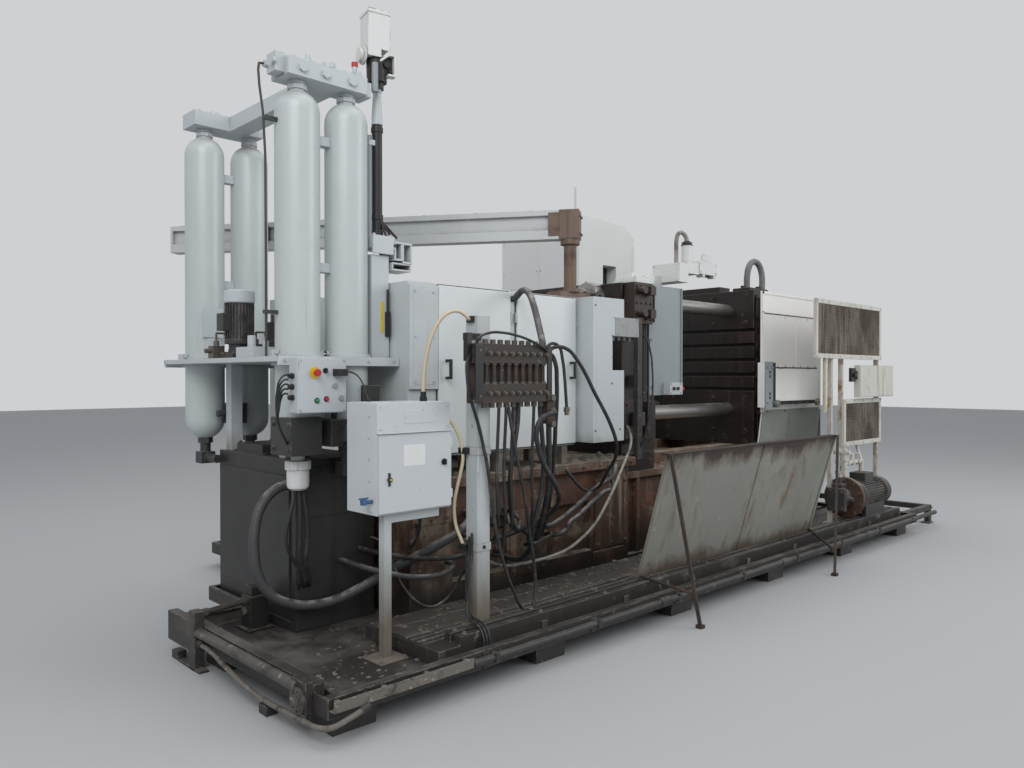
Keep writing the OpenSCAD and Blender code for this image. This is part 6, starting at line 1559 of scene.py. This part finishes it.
# Pole under the control box: square tube in chipped grey enamel, grimy towards its bolted base
# plate.
pole_paint = finish("pole_paint", (0.5, 0.535, 0.54), 0.45, [
    (patches, (3, 0.35, 0.2), (0.38, 0.39, 0.38), 0.6),
    (band, (0.75, 0.3, 0.6), (0.17, 0.145, 0.12), 0.7), (runs, (30, 0.4, 0.7), (0.2, 0.16, 0.13), 0.7),
    (patches, (20, 0.16, 0.05), (0.12, 0.075, 0.05), 0.8),
    (edges, (0.004, 0.8), (0.14, 0.11, 0.09), 0.6)], grain=(110, 0.15))
form = soften(node_form("control_box_pole"), 0.003)
bolts(form, (-3.345, -3.195), (-1.369, -1.219), 0.134, UP, 0.018)
piece("pole_tube", form, pole_paint, "control_box_pole")

# Hose post: square tube in the same enamel on a bolted foot, with clamp bands for the hoses, a black
# holder at its top left and grime where the hoses rub.
form = soften(node_form("hose_post"), 0.004)
for z in (0.66, 1.22):
    block(form, -2.722, -2.614, -1.426, -1.318, z - 0.022, z + 0.022)
bolts(form, (-2.74, -2.6), (-1.44, -1.34), 0.2135, UP, 0.018)
piece("post_tube", form, pole_paint, "hose_post")
form = bmesh.new()
for z in (0.66, 1.22):
    block(form, -2.76, -2.72, -1.36, -1.3, z - 0.018, z + 0.018)
    bolt(form, (-2.668, -1.4258, z), NEAR, 0.016)
blocks(form, (-2.735, -2.714, -1.4, -1.345, 1.965, 2.003), (-2.83, -2.7, -1.44, -1.425, 1.86, 1.9),
       (-2.835, -2.8, -1.47, -1.435, 1.74, 1.9))
soften(form, 0.003)
piece("post_clamps", form, black_plastic)

# Flow manifold on the post: dark rails with nine pale sight tubes between them, rows of steel
# fittings over and under the tubes, and a black end plate at the left.
form = soften(node_form("flow_manifold"), 0.003)
rail_rust = finish("rail_rust", (0.036, 0.027, 0.022), 0.55, [
    (patches, (7, 0.45, 0.15), (0.088, 0.052, 0.036), 0.8), (dust, (9, 0.7), (0.21, 0.185, 0.155), 0.9),
    (patches, (24, 0.24, 0.08), (0.23, 0.205, 0.175), 0.8),
    (edges, (0.004, 0.6), (0.2, 0.17, 0.14), 0.6)], grain=(90, 0.5))
piece("manifold_rails", form, rail_rust, "flow_manifold")
sight_dull = finish("sight_dull", (0.56, 0.55, 0.54), 0.3, [
    (patches, (14, 0.35, 0.15), (0.2, 0.17, 0.14), 0.5)])
form = bmesh.new()
for x in along(-2.698, -2.231, 9):
    rod_z(form, x, -1.479, 1.612, 1.728, 0.022, 20)
piece("sight_tubes", form, sight_dull)
form = bmesh.new()
for x in along(-2.698, -2.231, 9):
    for z0, z1, w in ((1.604, 1.622, 0.042), (1.718, 1.736, 0.042)):
        rod_z(form, x, -1.477, z0, z1, w, 6)
    for z in (1.555, 1.785):
        rod_y(form, x, -1.501, -1.515, z, 0.028, 6)
        rod_y(form, x, -1.515, -1.526, z, 0.016, 12)
    rod_z(form, x, -1.47, 1.839, 1.866, 0.034, 6)
    rod_z(form, x, -1.46, 1.501, 1.47, 0.036, 6)
for z in (1.36, 1.44, 1.52):
    rod_y(form, -2.166, -1.491, -1.512, z, 0.042, 6)
bolts(form, (-2.77, -2.21), -1.5015, (1.54, 1.8), NEAR, 0.016)
piece("manifold_fittings", form, fitting_steel)
form = soften(made_of((-2.806, -2.746, -1.509, -1.5, 1.505, 1.835),
                      (-2.22, -2.178, -1.509, -1.5, 1.505, 1.835)))
block(form, -2.8, -2.18, -1.426, -1.4215, 1.61, 1.73)
piece("manifold_end_plates", form, black_plastic)

# Jib post: a brown tube with its bearing collar, on a dark base plate that is bolted down over the
# cabinet's end.
JIB_PIVOT = (-1.279, -0.85)
jib_brown = finish("jib_brown", (0.17, 0.11, 0.078), 0.5, [
    (patches, (4, 0.45, 0.15), (0.075, 0.045, 0.03), 0.6),
    (runs, (28, 0.4, 0.7), (0.045, 0.03, 0.022), 0.5),
    (dust, (8, 0.6), (0.3, 0.26, 0.21), 0.9)], grain=(100, 0.3))
form = soften(node_form("jib_post"), 0.004)
rod_z(form, *JIB_PIVOT, 2.284, 2.31, 0.15, 28)
piece("jib_tube", form, jib_brown, "jib_post")
form = bmesh.new()
bolts(form, (-1.4, -1.12), (-0.865, -0.775), 2.2838, UP, 0.03)
block(form, -1.1, -0.95, -0.86, -0.76, 2.245, 2.3)
for x in (-1.06, -0.99):
    rod_y(form, x, -0.86, -0.93, 2.275, 0.042, 20)
piece("jib_base_bolts", form, rusty_block)

# Jib beam: a long grooved aluminium coloured beam in grey enamel, with a brown head over the post, a
# thin rod and the trolley on its side. It swings over the injection unit.
jib_turn = Matrix.Translation((*JIB_PIVOT, 0)) @ Matrix.Rotation(math.radians(124), 4, "Z")
# Its crease layer darkens creases and recesses with near black as painted shade with grime.
beam_paint = finish("beam_paint", (0.58, 0.6, 0.6), 0.42, [
    (patches, (2, 0.4, 0.2), (0.44, 0.44, 0.42), 0.6), (dust, (7, 0.8), (0.22, 0.2, 0.17), 0.9),
    (corners, (0.05, 0.8), (0.1, 0.09, 0.08), 0.8), (edges, (0.004, 0.6), (0.2, 0.17, 0.15), 0.6)])
form = soften(node_form("jib_beam"), 0.004)
piece("beam", form, beam_paint, "jib_beam", "jib")
form = soften(made_of((-0.075, 0.075, -0.075, 0.075, 2.68, 2.895), (0.075, 0.16, -0.058, 0.058, 2.7, 2.88)),
              0.005)
bolts(form, -0.0745, (-0.05, 0.05), (2.72, 2.85), LEFT, 0.022)
bmesh.ops.transform(form, matrix=jib_turn, verts=form.verts)
piece("beam_head", form, jib_brown, body="jib")
form = bmesh.new()
for x in (1.65, 2.45):
    blocks(form, (x - 0.01, x + 0.1, 0.04, 0.07, 2.74, 2.87), (x - 0.01, x + 0.1, -0.07, -0.04, 2.74, 2.87))
    for dx in (0.015, 0.075):
        rod_y(form, x + dx, -0.078, 0.078, 2.845, 0.036, 20)
for x in along(0.3, 3.25, 8):
    block(form, x - 0.012, x + 0.012, -0.022, 0.022, 2.896, 2.906)
block(form, 0.2, 3.31, -0.008, 0.008, 2.896, 2.902)
soften(form)
bmesh.ops.transform(form, matrix=jib_turn, verts=form.verts)
piece("beam_trolley", form, dark_machine, body="jib")

# Splash guard in front of the die space: leaning sheets of dull grey steel with one seam in the
# middle, scratched, run with rust and burnt dark along the top edge.
guard_grey = finish("guard_grey", (0.255, 0.255, 0.225), 0.55, [
    (patches, (1.4, 0.45, 0.25), (0.315, 0.31, 0.275), 0.6),
    (patches, (4, 0.3, 0.1), (0.19, 0.17, 0.14), 0.7),
    (runs, (11, 0.45, 0.8), (0.15, 0.085, 0.048), 0.75),
    (patches, (16, 0.16, 0.05), (0.42, 0.4, 0.35), 0.7),
    (band, (0.98, 1.09, 0.5), (0.075, 0.048, 0.034), 0.75),
    (band, (1.06, 1.12, 0.25), (0.03, 0.022, 0.018), 0.6),
    (band, (0.36, 0.26, 0.4), (0.1, 0.075, 0.055), 0.7),
    (edges, (0.005, 0.8), (0.13, 0.055, 0.028), 0.8)], grain=(60, 0.4))
dress("guard_sheets", "splash_guard", 0.003, guard_grey)
LEAN = math.atan2(0.25, 0.8775)
guard_tilt = Matrix.Translation((0, -1.5, 0.2525)) @ Matrix.Rotation(LEAN, 4, "X")
form = made_of((-0.012, 0.012, -0.008, 0, 0.01, 0.905), (-1.3, -1.275, -0.01, 0, 0.01, 0.905),
               (1.235, 1.26, -0.01, 0, 0.01, 0.905))
soften(form)
for x in (-1.2, -0.42, 0.4, 1.16):
    for z in (0.09, 0.86):
        rod_y(form, x, -0.001, -0.004, z, 0.02, 8)
bmesh.ops.transform(form, matrix=guard_tilt, verts=form.verts)
piece("guard_folds", form, guard_grey)
rust_dark = finish("rust_dark", (0.035, 0.024, 0.018), 0.65, [
    (patches, (6, 0.45, 0.15), (0.08, 0.045, 0.028), 0.8),
    (patches, (18, 0.2, 0.08), (0.16, 0.14, 0.12), 0.8)], grain=(60, 0.8), vary=0.3)
form = soften(made_of((-1.302, 1.262, -1.756, -1.69, 1.122, 1.1345)), 0.003)
piece("guard_top_edge", form, rust_dark)
form = bmesh.new()
for a, b in (
        ((-1.29, -1.505, 0.27), (-1.258, -1.932, 0.217)), ((1.25, -1.505, 0.26), (0.79, -1.932, 0.215))):
    rod(form, a, b, 0.02, 12)
    rod(form, b, (b[0], b[1], b[2] - 0.03), 0.03, 8)
piece("guard_braces", form, rust_dark)

# Two prop rods from the floor to the guard's top edge: rusty dark bars with blocks at their feet,
# and a pad on each that bears on the guard.
dress("props", "splash_props", 0.002, rust_dark)
